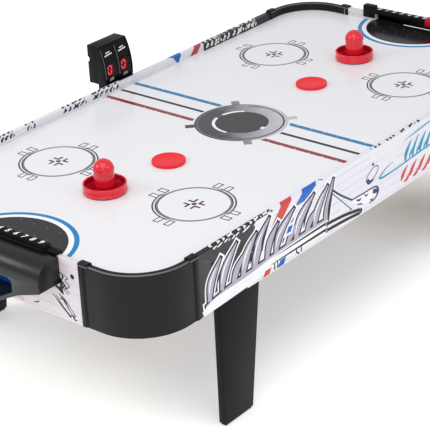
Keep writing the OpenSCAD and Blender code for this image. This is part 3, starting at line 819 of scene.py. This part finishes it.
def brush(points, grow=0.0, spans=6):
    """Outline of a brush stroke. Each point is across, up and width; grow thickens it all round."""
    path = smooth_path(points, spans)
    left, right = [], []
    for i, (u, v, w) in enumerate(path):
        du = path[min(i + 1, len(path) - 1)][0] - path[max(i - 1, 0)][0]
        dv = path[min(i + 1, len(path) - 1)][1] - path[max(i - 1, 0)][1]
        size = math.hypot(du, dv) or 1
        du, dv = du / size, dv / size
        reach = -grow if i == 0 else grow if i == len(path) - 1 else 0
        half = max(0.15, w / 2) + grow
        left.append((u + du * reach - dv * half, v + dv * reach + du * half))
        right.append((u + du * reach + dv * half, v + dv * reach - du * half))
    return left + right[::-1]


def face_frame(origin, across, up):
    across, up = Vector(across), Vector(up)
    normal = across.cross(up)
    turn = Matrix((across, up, normal)).transposed().to_4x4()
    return Matrix.Translation(origin) @ turn


FACES = {
    "right_outer": face_frame(at(0, -OUTER_W, 0), (1, 0, 0), (0, 0, 1)),
    "right_top": face_frame(at(0, -OUTER_W, WALL_H), (1, 0, 0), (0, 1, 0)),
    "left_outer": face_frame(at(0, OUTER_W, 0), (-1, 0, 0), (0, 0, 1)),
    "left_inner": face_frame(at(0, INNER_W, 0), (1, 0, 0), (0, 0, 1)),
    "left_top": face_frame(at(0, INNER_W, WALL_H), (1, 0, 0), (0, 1, 0)),
    "near_outer": face_frame(at(-OUTER_L, 0, 0), (0, -1, 0), (0, 0, 1)),
    "far_outer": face_frame(at(OUTER_L, 0, 0), (0, 1, 0), (0, 0, 1)),
}
SUNK = 0.05


class Print:
    """Collects flat ink shapes, each a little thicker than the last so that none lie in one plane."""

    def __init__(self):
        self.shapes = []
        self.count = 0

    def lay(self, face, outline, tone, level):
        self.count += 1
        self.shapes.append((face, outline, tone, level + self.count * 0.0002))

    def strokes(self, face, strokes, tone, level, grow=0.0):
        for stroke in strokes:
            self.lay(face, brush(stroke, grow), tone, level)

    def outlined(self, face, strokes, fill, halo="white_ink"):
        """Strokes with a dark line round them and a pale halo outside that."""
        self.strokes(face, strokes, halo, 0.05, grow=5.6)
        self.strokes(face, strokes, "dark_ink_and_painted_shadow", 0.08, grow=2.9)
        self.strokes(face, strokes, fill, 0.11)

    def onto(self, rail, name):
        """Turns the shapes into thin plates and joins them to the rail they are printed on."""
        plates = []
        deselect()
        for face, outline, tone, level in self.shapes:
            curve = bpy.data.curves.new(name, "CURVE")
            curve.dimensions = "2D"
            curve.fill_mode = "BOTH"
            curve.extrude = (level + SUNK) / 2 * MM
            spline = curve.splines.new("POLY")
            spline.points.add(len(outline) - 1)
            for point, (u, v) in zip(spline.points, outline):
                point.co = (u * MM, v * MM, 0, 1)
            spline.use_cyclic_u = True
            curve.materials.append(finishes[tone])
            plate = bpy.data.objects.new(name, curve)
            bpy.context.scene.collection.objects.link(plate)
            plate.matrix_world = FACES[face] @ Matrix.Translation((0, 0, (level - SUNK) / 2 * MM))
            plate.select_set(True)
            plates.append(plate)
        bpy.context.view_layer.objects.active = plates[0]
        bpy.ops.object.convert(target="MESH")
        bpy.ops.object.transform_apply(location=True, rotation=True, scale=True)
        bpy.ops.object.join()
        printed = bpy.context.object
        edit(printed)
        bpy.ops.mesh.remove_doubles(threshold=1e-6)
        bpy.ops.mesh.normals_make_consistent(inside=False)
        bpy.ops.object.mode_set(mode="OBJECT")
        return join([rail, printed], name)


def squiggles(start, end, low, high, count, seed, width=1.3):
    """A run of short hooks and dashes between two places, always the same for a seed."""
    draw = random.Random(seed)
    step = (end - start) / count
    marks = []
    for i in range(count):
        u = start + (i + 0.5) * step
        bow = draw.choice((-0.35, 0.3, 0.4)) * step
        bottom = low + draw.uniform(0, 0.25) * (high - low)
        top = high - draw.uniform(0, 0.15) * (high - low)
        marks.append([(u - 0.15 * step, bottom, width * 0.6), (u + bow, (bottom + top) / 2, width * 1.3),
                      (u + 0.2 * step, top, width * 0.6)])
        if draw.random() < 0.6:
            marks.append([(u + 0.3 * step, bottom + 0.6, width * 0.5),
                          (u + 0.45 * step, (bottom + top) / 2 - 0.6, width * 0.9),
                          (u + 0.55 * step, (bottom + top) / 2 + 0.6, width * 0.4)])
    return marks


def dabs(printed, face, tone, runs, level=0.06):
    """Runs of squiggles: each is start, end, low, high, count, seed and width."""
    for run in runs:
        printed.strokes(face, squiggles(*run), tone, level)


def moved(strokes, du, dv=0.0, flip=1):
    return [[(flip * u + du, v + dv, w) for u, v, w in stroke] for stroke in strokes]


# Slanted flames of the big pattern: points of across, up and width. The first runs along their feet.
LEAVES = [
    [(-394, -66, 3), (-340, -60, 9), (-250, -56, 9), (-168, -52, 8), (-118, -50, 3)],
    [(-386, -62, 7), (-380, -34, 13), (-359, -8, 2)],
    [(-360, -57, 7), (-351, -28, 14), (-325, 0, 2)],
    [(-336, -60, 7), (-327, -40, 12), (-308, -22, 2)],
    [(-315, -57, 8), (-304, -26, 15), (-282, -3, 2)],
    [(-290, -58, 9), (-278, -22, 17), (-253, 8, 2)],
    [(-262, -56, 7), (-254, -30, 12), (-234, -8, 2)],
    [(-242, -54, 7), (-230, -26, 15), (-197, -1, 2)],
    [(-217, -54, 6), (-204, -38, 11), (-182, -24, 2)],
    [(-196, -52, 8), (-182, -22, 16), (-150, 2, 2)],
    [(-170, -52, 7), (-159, -35, 11), (-138, -22, 2)],
    [(-152, -54, 7), (-141, -24, 14), (-117, 2, 2)],
    [(-126, -68, 8), (-119, -32, 12), (-103, 7, 2)],
]
LEAF_SHADOWS = [
    [(-370, -44, 2), (-364, -32, 4), (-352, -16, 1)],
    [(-299, -44, 2), (-294, -34, 5), (-284, -20, 1)],
    [(-272, -36, 3), (-268, -20, 6), (-258, -2, 1)],
    [(-226, -44, 2), (-216, -30, 4), (-198, -16, 1)],
    [(-176, -40, 2), (-170, -24, 5), (-154, -8, 1)],
    [(-118, -52, 2), (-115, -32, 4), (-107, -10, 1)],
]
LEAF_LIGHTS = [
    [(-386, -50, 1), (-382, -34, 2.6), (-370, -18, 1)],
    [(-360, -46, 1), (-354, -28, 3), (-338, -10, 1)],
    [(-315, -46, 1), (-308, -28, 3), (-294, -12, 1)],
    [(-290, -46, 1), (-283, -24, 3.4), (-266, -4, 1)],
    [(-241, -44, 1), (-234, -28, 3), (-212, -10, 1)],
    [(-196, -42, 1), (-188, -24, 3.4), (-166, -6, 1)],
    [(-151, -42, 1), (-146, -26, 3), (-128, -6, 1)],
]
UNDERLINES = [
    [(-398, -74, 3), (-372, -66, 4), (-300, -63.5, 4), (-236, -58.5, 4.4), (-132, -56.5, 4.8),
     (-122, -57, 4.4)],
    [(-397, -75.5, 2), (-340, -73, 3.4), (-262, -69, 4), (-236, -67, 4.4), (-132, -66, 4.8),
     (-122, -66.5, 4.4)],
    [(-120, -58, 5), (-76, -62, 5), (-38, -68.5, 5)],
    [(-120, -68, 5), (-76, -70.5, 5), (-38, -74, 5)],
    [(-37, -68, 4), (-34, -71, 5), (-37, -74.5, 4)],
]
TICKS = [
    [(-245, -67, 2.5), (-245, -72, 2.5), (-245, -76.5, 2.5)],
    [(-238, -66, 2.5), (-238, -72, 2.5), (-238, -76.5, 2.5)],
    [(-194, -66, 2.5), (-194, -71, 2.5), (-188, -76, 2.5)],
    [(-183, -66, 2.5), (-183, -72, 2.5), (-183, -75.5, 2.5)],
]


def big_pattern(printed, face, du=0.0, dv=0.0, flip=1):
    """The outlined flames with their underlines."""
    printed.outlined(face, moved(LEAVES, du, dv, flip), "lilac_ink")
    printed.strokes(face, moved(LEAF_SHADOWS, du, dv, flip), "dark_ink_and_painted_shadow", 0.14)
    printed.strokes(face, moved(LEAF_LIGHTS, du, dv, flip), "white_ink", 0.17)
    printed.strokes(face, moved(UNDERLINES[:2], du, dv, flip), "white_ink", 0.12, grow=2.3)
    printed.strokes(face, moved(UNDERLINES, du, dv, flip), "dark_ink_and_painted_shadow", 0.15)
    printed.strokes(face, moved(TICKS, du, dv, flip), "dark_ink_and_painted_shadow", 0.15)


def stick_pattern(printed, face, du=0.0, flip=1):
    """A plain stick with a dark blade, and a ringed oval above it."""
    def put(strokes, tone, level, grow=0.0):
        printed.strokes(face, moved(strokes, du, 0, flip), tone, level, grow)

    put([[(-107, -9, 3.4), (-86, -26, 3.0), (-58, -45, 3.0)],
         [(-106, -16, 1.4), (-84, -36, 1.4), (-60, -59, 1.4)]], "navy_ink", 0.16)
    put([[(-58, -58, 1.2), (-62, -60, 1.2), (-60, -58, 1.2)]], "navy_ink", 0.16)
    put([[(-56, -47, 5), (-30, -54, 17), (0, -58, 18), (6, -58, 14)]], "white_ink", 0.13)
    put([[(-58, -45, 2.2), (-30, -46, 2.4), (2, -47, 2.4), (10, -56, 5), (2, -66, 3), (-14, -68, 1.2)]],
        "navy_ink", 0.16)
    put([[(-4, -52, 7), (5, -56, 8), (4, -62, 6)]], "navy_ink", 0.18)
    put([[(-46, -50, 3), (-38, -53, 3.4), (-34, -50, 1)], [(-26, -49, 2), (-20, -53, 2.6), (-16, -50, 1)],
         [(-44, -58, 1.4), (-36, -60, 2.4), (-30, -63, 1)], [(-12, -63, 2), (-6, -65, 2.6), (-1, -61, 1)]],
        "navy_ink", 0.18)
    ring = [(-5 + 17 * math.cos(t) * 0.9 - 8 * math.sin(t) * 0.42, -24 + 17 * math.cos(t) * 0.42
             + 8 * math.sin(t) * 0.9, 1.5) for t in (math.pi * 2 * i / 9 for i in range(10))]
    put([ring], "navy_ink", 0.15)
    put([[(-18, -28, 5), (-14, -34, 7), (-2, -34, 2)]], "navy_ink", 0.17)
    put([[(-5, -7.5, 3.5), (-3, -9, 4.5), (-2, -11, 3)]], "dark_ink_and_painted_shadow", 0.18)


def colour_strokes(printed, face, du=0.0, flip=1):
    """Loose teal and red brush marks."""
    def put(strokes, tone, level):
        printed.strokes(face, moved(strokes, du, 0, flip), tone, level)

    put([[(50, -25, 0.8), (30, -29, 2.2), (15, -39, 3.4), (60, -39.5, 2.6), (140, -35, 2.6),
          (208, -33, 1.4)], [(80, -2, 0.8), (120, 2, 2.4), (196, 9, 1.6)]], "teal_ink", 0.1)
    put([[(84 + 20 * i, -37, 3), (86 + 20 * i, -24, 8.5 - 2 * (i % 2)),
          (100 + 20 * i, -7 + 2 * (i % 2), 1.5)] for i in range(6)], "teal_ink", 0.13)
    put([[(94 + 20 * i, -35, 2), (98 + 20 * i, -29, 5), (107 + 20 * i, -21, 1)] for i in range(5)],
        "teal_ink", 0.13)
    put([[(73 + 25 * i, -66, 2.5), (77 + 25 * i, -57, 8), (90 + 25 * i, -45, 1.5)] for i in range(5)],
        "red_ink", 0.12)
    put([[(80 + 25 * i, -70, 2), (90 + 25 * i, -67, 6), (99 + 25 * i, -57, 1.5)] for i in range(5)],
        "red_ink", 0.12)


# Loose pen strokes beside the puck catcher, and close to it dark hatching that is partly print and partly
# painted shadow of the catcher's hood on the rail.
SKETCH_AND_HOOD_SHADOW = [
    [(87, -45, 1.0), (99, -57, 2.0), (113, -70, 1.2), (117, -73, 2.4)],
    [(93, -46, 0.9), (103, -59, 1.8), (115, -70, 2.6), (119, -69, 1.0)],
    [(99, -42, 1.6), (108, -52, 2.6), (118, -66, 1.4), (124, -71, 3.0)],
    [(104, -44, 1.0), (112, -52, 2.0), (119, -60, 1.2), (126, -69, 2.2)],
    [(119, -67, 1.4), (124, -74, 2.4), (128, -73, 1.4)],
    [(98, -50, 0.8), (106, -49, 2.0), (112, -53, 0.8)],
    # The next five are the dark hatching by the hood: part print, part painted shadow.
    [(104, -8, 1.2), (109, -13, 3.0), (106, -20, 1.6), (110, -26, 3.2), (106, -33, 1.4)],
    [(110, -9, 0.9), (117, -14, 1.6), (112, -19, 1.2), (119, -25, 1.8), (114, -31, 1.2), (119, -36, 1.0)],
    [(107, -22, 1.0), (113, -28, 2.2), (110, -34, 1.4), (117, -39, 1.0)],
    [(102, -16, 3.0), (105, -24, 5.0), (104, -34, 5.0), (107, -41, 2.0)],
    [(90, -31, 2.0), (98, -33, 5.0), (106, -38, 6.0)],
    [(60, -65, 0.8), (54, -69, 1.8), (47, -70, 0.8)],
]


def make_rails():
    """The printed side and end rails, each with its ink as thin plates."""
    right = softened("side_rail_right", "side_rail_right_board", 0.6)
    paint(right, finishes["right"])
    printed = Print()
    big_pattern(printed, "right_outer")
    stick_pattern(printed, "right_outer")
    colour_strokes(printed, "right_outer")
    half = [s for s in LEAVES if max(p[0] for p in s) < -236]
    printed.outlined("right_outer", moved(half, -24, 0, -1), "lilac_ink")
    for outline, tone, level in (
            (((-271, -77.5), (-257, -77.5), (-252, -69.5), (-266, -69.5)), "red_ink", 0.2),
            (((-238, -77.0), (-224, -77.0), (-218, -67.5), (-232, -67.5)), "blue_ink", 0.2),
            (((-226, -37.0), (-204, -37.0), (-195, -21.0), (-212, -21.0)), "white_ink", 0.2),
            (((-217, -33.5), (-206, -33.5), (-201, -24.5), (-211, -24.5)), "blue_ink", 0.22)):
        printed.lay("right_outer", outline, tone, level)
    dabs(printed, "right_top", "white_ink",
         ((-376, -300, 0.8, 8.6, 7, 3, 2.6), (-296, -236, 0.8, 8.6, 6, 5, 2.6)))
    dabs(printed, "right_outer", "white_ink", ((-374, -268, 8.5, 13, 9, 8, 2.2),))
    printed.strokes("right_top", [[(-129, 8, 1), (-127, 4, 3), (-126, 1, 1)]], "dark_ink_and_painted_shadow", 0.06)
    dabs(printed, "right_top", "dark_ink_and_painted_shadow",
         ((-8, 22, 1, 8, 3, 11, 2.6), (34, 60, 1, 8, 3, 12, 2.6), (70, 128, 1, 8, 5, 13, 3.0)))
    dabs(printed, "right_top", "white_ink", ((332, 400, 0.8, 8.6, 7, 14, 2.6),))
    rail = printed.onto(right, "side_rail_right_board")
    seat(rail, "table", "rail_print", "side_rail_right")

    left = softened("side_rail_left", "side_rail_left_board", 0.6)
    paint(left, finishes["left"])
    printed = Print()
    for face, low, deep, high in (("left_top", 0.6, 0.6, 8.6), ("left_inner", 4.5, 1.5, 12.8)):
        dabs(printed, face, "dark_ink_and_painted_shadow",
             ((-274, -246, low, high, 3, 21, 3.2), (-218, -200, low, high, 2, 22, 2.4),
              (-141, -84, low, high, 5, 23, 3.2), (-72, -6, low, high, 6, 24, 3.2)))
        dabs(printed, face, "white_ink",
             ((216, 286, deep, high, 6, 25, 4.4), (290, 362, deep, high, 6, 26, 4.4)))
        dabs(printed, face, "dark_ink_and_painted_shadow", ((218, 360, deep, high, 12, 27, 1.2),), level=0.1)
    row = [[(-380 + 34 * i, -62, 7), (-370 + 34 * i, -34, 15), (-344 + 34 * i, -6, 2)]
           for i in range(7)]
    printed.outlined("left_outer", row, "lilac_ink")
    printed.strokes("left_outer", moved(LEAF_LIGHTS[:1], 4), "white_ink", 0.17)
    stick_pattern(printed, "left_outer", du=232)
    curl = [(262, -30, 2), (300, -40, 2.6), (330, -34, 2), (392, -30, 1)]
    printed.strokes("left_outer", [curl], "teal_ink", 0.1)
    marks = [[(308 + 22 * i, -64, 2), (312 + 22 * i, -56, 6), (322 + 22 * i, -47, 1.5)] for i in range(4)]
    printed.strokes("left_outer", marks, "red_ink", 0.1)
    rail = printed.onto(left, "side_rail_left_board")
    seat(rail, "table", "rail_print", "side_rail_left")

    for end, face in (("near", "near_outer"), ("far", "far_outer")):
        board = softened("end_rail_" + end, "end_rail_%s_board" % end, 0.6)
        paint(board, finishes["ends"])
        printed = Print()
        # Pen strokes, and by the catcher hatching that is partly painted shadow of its hood.
        printed.strokes(face, SKETCH_AND_HOOD_SHADOW, "dark_ink_and_painted_shadow", 0.06)
        printed.strokes(face, moved(SKETCH_AND_HOOD_SHADOW[:6], 0, 0, -1), "dark_ink_and_painted_shadow", 0.06)
        printed.strokes(face, [[(-30, -58, 14), (-8, -58, 24), (6, -61, 16)]], "blue_ink", 0.06)
        printed.strokes(face, [[(8, -74, 3), (18, -71, 5), (30, -73, 3)]], "sand_ink", 0.06)
        rail = printed.onto(board, "end_rail_%s_board" % end)
        seat(rail, "table", "rail_print", "end_rail_" + end)


# ------------------------------------------------------------------ legs
LEG_FOOT_W, LEG_TOP_W, LEG_T = 61.0, 85.0, 12.5


def make_legs():
    """Tapered boards with their tongues, bevelled as cut and edge-banded panels."""
    for name, sx, sy in CORNERS:
        node = "leg_" + name
        low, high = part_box(node)
        outer_x = max(abs(low.x), abs(high.x)) / MM
        outer_y = OUTER_W + 0.3
        x_range = sorted((sx * outer_x, sx * (outer_x - LEG_TOP_W)))
        y_range = sorted((sy * outer_y, sy * (outer_y - LEG_T)))
        board = block("leg", (x_range[0], y_range[0], (low.z - PLAY) / MM),
                      (x_range[1], y_range[1], RAIL_FOOT - 0.1))
        inner_x = sx * (outer_x - LEG_TOP_W) * MM
        edit(board)
        bpy.ops.mesh.select_all(action="DESELECT")
        bpy.ops.object.mode_set(mode="OBJECT")
        for vertex in board.data.vertices:
            vertex.select = abs(vertex.co.x - inner_x) < MM and vertex.co.z < low.z + MM
        bpy.ops.object.mode_set(mode="EDIT")
        bpy.ops.transform.translate(value=(sx * (LEG_TOP_W - LEG_FOOT_W) * MM, 0, 0))
        bpy.ops.mesh.select_all(action="SELECT")
        bpy.ops.mesh.bevel(offset=0.9 * MM, segments=2, affect="EDGES")
        bpy.ops.object.mode_set(mode="OBJECT")
        tongue_x = sorted((sx * (outer_x - 8), sx * (outer_x - LEG_TOP_W + 8)))
        tongue_y = sorted((sy * (INNER_W - 0.1), sy * (INNER_W - 8.4)))
        tongue = block("tongue", (tongue_x[0], tongue_y[0], RAIL_FOOT - 26),
                       (tongue_x[1], tongue_y[1], (high.z - PLAY) / MM), bevel=0.6)
        leg = join([board, tongue], "leg_board_" + name)
        settle(leg)
        paint(leg, finishes["black_board"])
        seat(leg, "table", "black_board", node)


# ------------------------------------------------------------------ loose pieces
def make_pusher(tag, body):
    """A handle turned in one piece: dished base, waisted neck and domed knob."""
    low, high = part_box("pusher_" + tag)
    centre = Vector(((low.x + high.x) / 2, (low.y + high.y) / 2, PLAY + 0.1 * MM))
    rim, rim_top, neck, knob, dome_z = 32.0, 15.0, 15.1, 15.5, 35.0
    profile = [(0, 1.2), (30.9, 1.2)] + arc(31.1, 2.1, 0.9, -90, 0, 3)
    profile += [(32.0, 3.4), (31.6, 3.8), (31.6, 4.3), (32.0, 4.7)]
    profile += [(31.7, 9.3), (31.5, 9.6), (31.7, 9.9)] + arc(rim - 1.3, rim_top - 1.3, 1.3, 0, 180, 8)
    profile += arc(rim - 4.6, 6.0, 2.0, 0, -90, 5)
    profile += [(22.5, 4.0), (20.2, 4.3), (18.3, 5.3), (16.6, 7.2), (15.5, 9.6)]
    profile += [(neck, 12.4), (neck - 0.1, 20), (neck, 28)]
    profile += arc(0, dome_z, knob, -15, 84, 18)
    profile += [(0, dome_z + knob)]
    piece = lathe("pusher_%s_handle" % tag, profile, centre, steps=96)
    paint(piece, finishes["red_gloss"])
    # Painted shade: the faces inside the dish take a darker red than the rest of the handle.
    piece.data.materials.append(finishes["red_painted_shade"])
    for face in piece.data.polygons:
        spoke = (face.center - centre) / MM
        if math.hypot(spoke.x, spoke.y) < rim - 2 and 1.5 < spoke.z < rim_top - 2.5:
            face.material_index = 1
    seat(piece, body, "red_gloss", "pusher_" + tag)


def make_puck(tag, body):
    """A flat disc with rounded edges and a shallow recess in its top."""
    low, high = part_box("puck_" + tag)
    centre = Vector(((low.x + high.x) / 2, (low.y + high.y) / 2, low.z))
    profile = [(0, 0), (24.5, 0)] + arc(24.6, 0.9, 0.9, -90, 0, 4) + arc(24.6, 4.1, 0.9, 0, 90, 4)
    profile += [(23.0, 5.0), (22.6, 4.85), (22.2, 4.6), (0, 4.6)]
    piece = lathe("puck_%s_disc" % tag, profile, centre, steps=96)
    paint(piece, finishes["red_plastic"])
    seat(piece, body, "red_plastic", "puck_" + tag)


# ------------------------------------------------------------------ goals
def make_text(name, body, size, matrix, finish, lean=0.0):
    """A numeral as a thin plate."""
    deselect()
    bpy.ops.object.text_add()
    text = bpy.context.object
    text.name = name
    text.data.body = body
    text.data.size = size * MM
    text.data.extrude = 0.06 * MM
    text.data.offset = 0.42 * MM
    text.data.shear = lean
    text.data.resolution_u = 4
    text.data.align_x = "CENTER"
    text.data.align_y = "CENTER"
    bpy.ops.object.convert(target="MESH")
    text.matrix_world = matrix
    bpy.ops.object.transform_apply(location=True, rotation=True, scale=True)
    edit(text)
    bpy.ops.mesh.remove_doubles(threshold=1e-7)
    bpy.ops.object.mode_set(mode="OBJECT")
    paint(text, finish)
    return text


DIGIT_PITCH = 15.6
FIRST_DIGIT_Y = 72.8
BAR_TOP = 22.7


def make_goals():
    """Score bars with their numerals, sliding markers and puck catchers."""
    for end, sx in (("near", -1), ("far", 1)):
        bar = softened("score_bar_" + end, "score_bar_%s_body" % end, 0.5)
        paint(bar, finishes["board_black"])
        digits = []
        for i in range(10):
            y = FIRST_DIGIT_Y - i * DIGIT_PITCH
            place = face_frame(at(sx * (INNER_L + 3.2), y, BAR_TOP + 0.05), (0, -1, 0), (1, 0, 0))
            digits.append(make_text("digit", str(i), 11.6, place, finishes["white_ink"], lean=0.25))
        bar = join([bar] + digits, "score_bar_%s_body" % end)
        seat(bar, "table", "black_plastic", "score_bar_" + end)
        slider = softened("score_slider_" + end, "score_slider_%s_clip" % end, 0.4)
        paint(slider, finishes["slider_red"])
        seat(slider, "slider_" + end, "red_plastic", "score_slider_" + end)
        hood = softened("puck_catcher_" + end, "puck_catcher_%s_hood" % end, 0.7, segments=3, angle=50)
        paint(hood, finishes["hood_plastic"])
        seat(hood, "table", "black_plastic", "puck_catcher_" + end)


# ------------------------------------------------------------------ scoreboard
DRUM_R, DRUM_Y, DRUM_Z = 111.6, 370.8, 23.2
WINDOW_LEFT = (-18.5, 14.5)


def drum_face(height):
    """Where the display's curved front stands at a height, facing outwards."""
    lean = math.asin((height - DRUM_Z) / DRUM_R)
    place = at(0, DRUM_Y - DRUM_R * math.cos(lean), height)
    return face_frame(place, (1, 0, 0), (0, math.sin(lean), math.cos(lean)))


def bars(left, low, count, width, height, space, lean=0.1):
    """A row of plain little bars, as outlines."""
    rows = []
    for i in range(count):
        u = left + i * (width + space)
        v = low + lean * (i * (width + space))
        end = v + lean * width
        rows.append([(u, v), (u + width, end), (u + width, end + height), (u, v + height)])
    return rows


def display_marks(shell):
    """Plain bars in place of the captions over and under the digits, and painted highlights down the
    panels' left edges.
    """
    printed = Print()
    for left in WINDOW_LEFT:
        over = bars(left + 9, 1.2, 3, 2.6, 2.0, 0.7) + bars(left + 5, -3.2, 5, 2.9, 2.2, 0.7)
        under = bars(left + 9, 1.0, 3, 2.2, 1.1, 0.8) + bars(left + 8, -1.6, 4, 1.8, 1.1, 0.8)
        for height, rows in ((60.5, over), (17.5, under)):
            face = "display_%d" % height
            FACES[face] = drum_face(height)
            for row in rows:
                printed.lay(face, row, "white_ink", 0.12)
        # Thin grey plates down each panel's left edge: a painted highlight.
        for height in range(24, 70, 6):
            face = "display_%d" % height
            FACES[face] = drum_face(height)
            printed.lay(face, bars(left - 0.9, -3.0, 1, 0.55, 6.0, 0, 0)[0], "painted_edge_highlight", 0.1)
    return printed.onto(shell, "scoreboard_front_shell")


def make_scoreboard():
    for node, name, width in (("scoreboard_front", "scoreboard_front_shell", 0.9),
                              ("scoreboard_back", "scoreboard_back_shell", 0.9),
                              ("scoreboard_bracket", "scoreboard_clamp", 0.8),
                              ("battery_door", "battery_cover", 0.3)):
        piece = softened(node, name, width, segments=3)
        paint(piece, finishes["board_black"])
        if node == "scoreboard_front":
            piece = display_marks(piece)
        seat(piece, "table", "black_plastic", node)
    for side in ("left", "right"):
        make_digit(side)


DIGIT_W, DIGIT_H, STROKE_W, DIGIT_LEAN = 7.8, 13.6, 1.9, 0.09


def make_digit(side):
    """The seven segments of one display digit, showing a nought: the middle one is unlit."""
    low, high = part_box("digit_module_" + side)
    face_y = (low.y - MID_Y) / MM
    centre_x = ((low + high) / 2).x / MM
    w, h, t = DIGIT_W, DIGIT_H, STROKE_W
    lines = [((-w / 2 + 1, h / 2), (w / 2 - 1, h / 2)), ((-w / 2 + 1, -h / 2), (w / 2 - 1, -h / 2)),
             ((-w / 2, 0.9), (-w / 2, h / 2 - 1)), ((w / 2, 0.9), (w / 2, h / 2 - 1)),
             ((-w / 2, -h / 2 + 1), (-w / 2, -0.9)), ((w / 2, -h / 2 + 1), (w / 2, -0.9)),
             ((-w / 2 + 1, 0), (w / 2 - 1, 0))]
    parts = []
    for i, ((u0, v0), (u1, v1)) in enumerate(lines):
        flat = abs(v1 - v0) < 0.1
        wide, tall = (0, t / 2) if flat else (t / 2, 0)
        lean = DIGIT_LEAN * v0
        part = block("segment", (centre_x + (u0 - wide + lean), face_y - 0.5, DIGIT_Z + (v0 - tall)),
                     (centre_x + (u1 + wide + lean), face_y + 0.1, DIGIT_Z + (v1 + tall)),
                     bevel=0.25, segments=1)
        paint(part, finishes["segment" if i < 6 else "unlit"])
        parts.append(part)
    digit = join(parts, "display_digit_" + side)
    settle(digit)
    seat(digit, "table", "red_plastic")


# ------------------------------------------------------------------ everything else
def make_fittings():
    """Hidden and small pieces: some with softened edges, the rest as they are but with their finish."""
    for node, name, width, finish, slot, body in (
            ("fan_housing", "fan_casing", 0.5, "black_plastic", "black_plastic", "table"),
            ("fan_guard", "fan_grille", 0.35, "black_plastic", "black_plastic", "table"),
            ("switch_plate", "switch_surround", 0.5, "board_black", "black_plastic", "table"),
            ("power_rocker", "rocker_cap", 0.4, "slider_red", "red_plastic", "rocker"),
            ("reset_button", "reset_cap", 0.4, "slider_red", "red_plastic", "reset"),
            ("foot_pads", "foot_pad_set", 0.5, "rubber", "rubber_pad", "table")):
        piece = softened(node, name, width)
        paint(piece, finishes[finish])
        seat(piece, body, slot, node)
    kept = {
        "raw_board": ("bottom_panel", "side_batten_right", "side_batten_left", "end_batten_near",
                      "end_batten_far"),
        "steel": ("leg_bolts", "catcher_screws", "fan_motor", "fan_screws", "scoreboard_screws"),
        "dark_steel": ("rail_screws",),
        "grey_plastic": ("goal_sensor_near", "goal_sensor_far", "dc_jack"),
        "white_plastic": ("fan_impeller",),
        "board_black": ("digit_module_left", "digit_module_right"),
        "window": ("display_window_left", "display_window_right"),
        "circuit": ("scoreboard_pcb",),
        "felt": ("pusher_felt_near", "pusher_felt_far"),
    }
    for finish, nodes in kept.items():
        for node in nodes:
            paint(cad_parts[node], finishes[finish])


def make_floor():
    """A white stage with painted shade: its glow fades under the table, where its shade is deepest, and a
    painted shadow dims it most under the table's far right.
    """
    deselect()
    bpy.ops.mesh.primitive_plane_add(size=14, location=(2.0, 2.0, 0))
    floor = bpy.context.object
    floor.name = "studio_floor"
    bpy.ops.object.transform_apply(location=True, rotation=True, scale=True)
    finish = Finish("studio_floor", Specular_IOR_Level=0.1, Emission_Strength=0.46)
    parts = [finish.add("SeparateXYZ", {}, finish.place, out=i) for i in range(2)]
    # Painted light: the floor's colour grows paler away from the camera.
    depth = ((parts[0] * 0.684 + parts[1] * 0.582 + 0.5) / 1.6).clamped()
    dust = finish.noise(3, 3)
    paleness = depth + (dust - 0.5) * 0.04
    finish.set("Base Color", finish.mix(srgb(240, 240, 238), srgb(250, 250, 250), paleness))
    # Painted shade: the glow is low under the table and full past its ends and sides.
    past_end = ((abs(parts[0]) - 0.29) / 0.13).clamped()
    past_side = ((abs(parts[1] - MID_Y) - 0.14) / 0.16).clamped()
    open_floor = past_end.either(past_side).math("SMOOTH_MIN", 1.0, 0.2)
    lift = finish.mix(srgb(176, 181, 192), srgb(250, 252, 255), open_floor)
    # Painted shadow: the glow falls nearly to nothing in a patch under the table's far right.
    away = parts[0] - 0.38, parts[1] - MID_Y + 0.1
    deep = (1.15 - (away[0] * away[0] + away[1] * away[1]).math("SQRT") / 0.17).clamped()
    finish.set("Emission Color", finish.mix(lift, srgb(8, 8, 9), deep))
    finish.set("Roughness", (dust - 0.5) * 0.1 + 0.85)
    finish.bump(finish.noise(160, 3), 0.02)
    paint(floor, finish.material)


add_camera()
add_lights()
finishes = make_finishes()
make_floor()
make_field()
make_corners()
make_rails()
make_legs()
make_goals()
make_scoreboard()
for tag, letter in (("near", "a"), ("far", "b")):
    make_pusher(tag, "pusher_" + letter)
    make_puck(tag, "puck_" + letter)
make_fittings()
deselect()
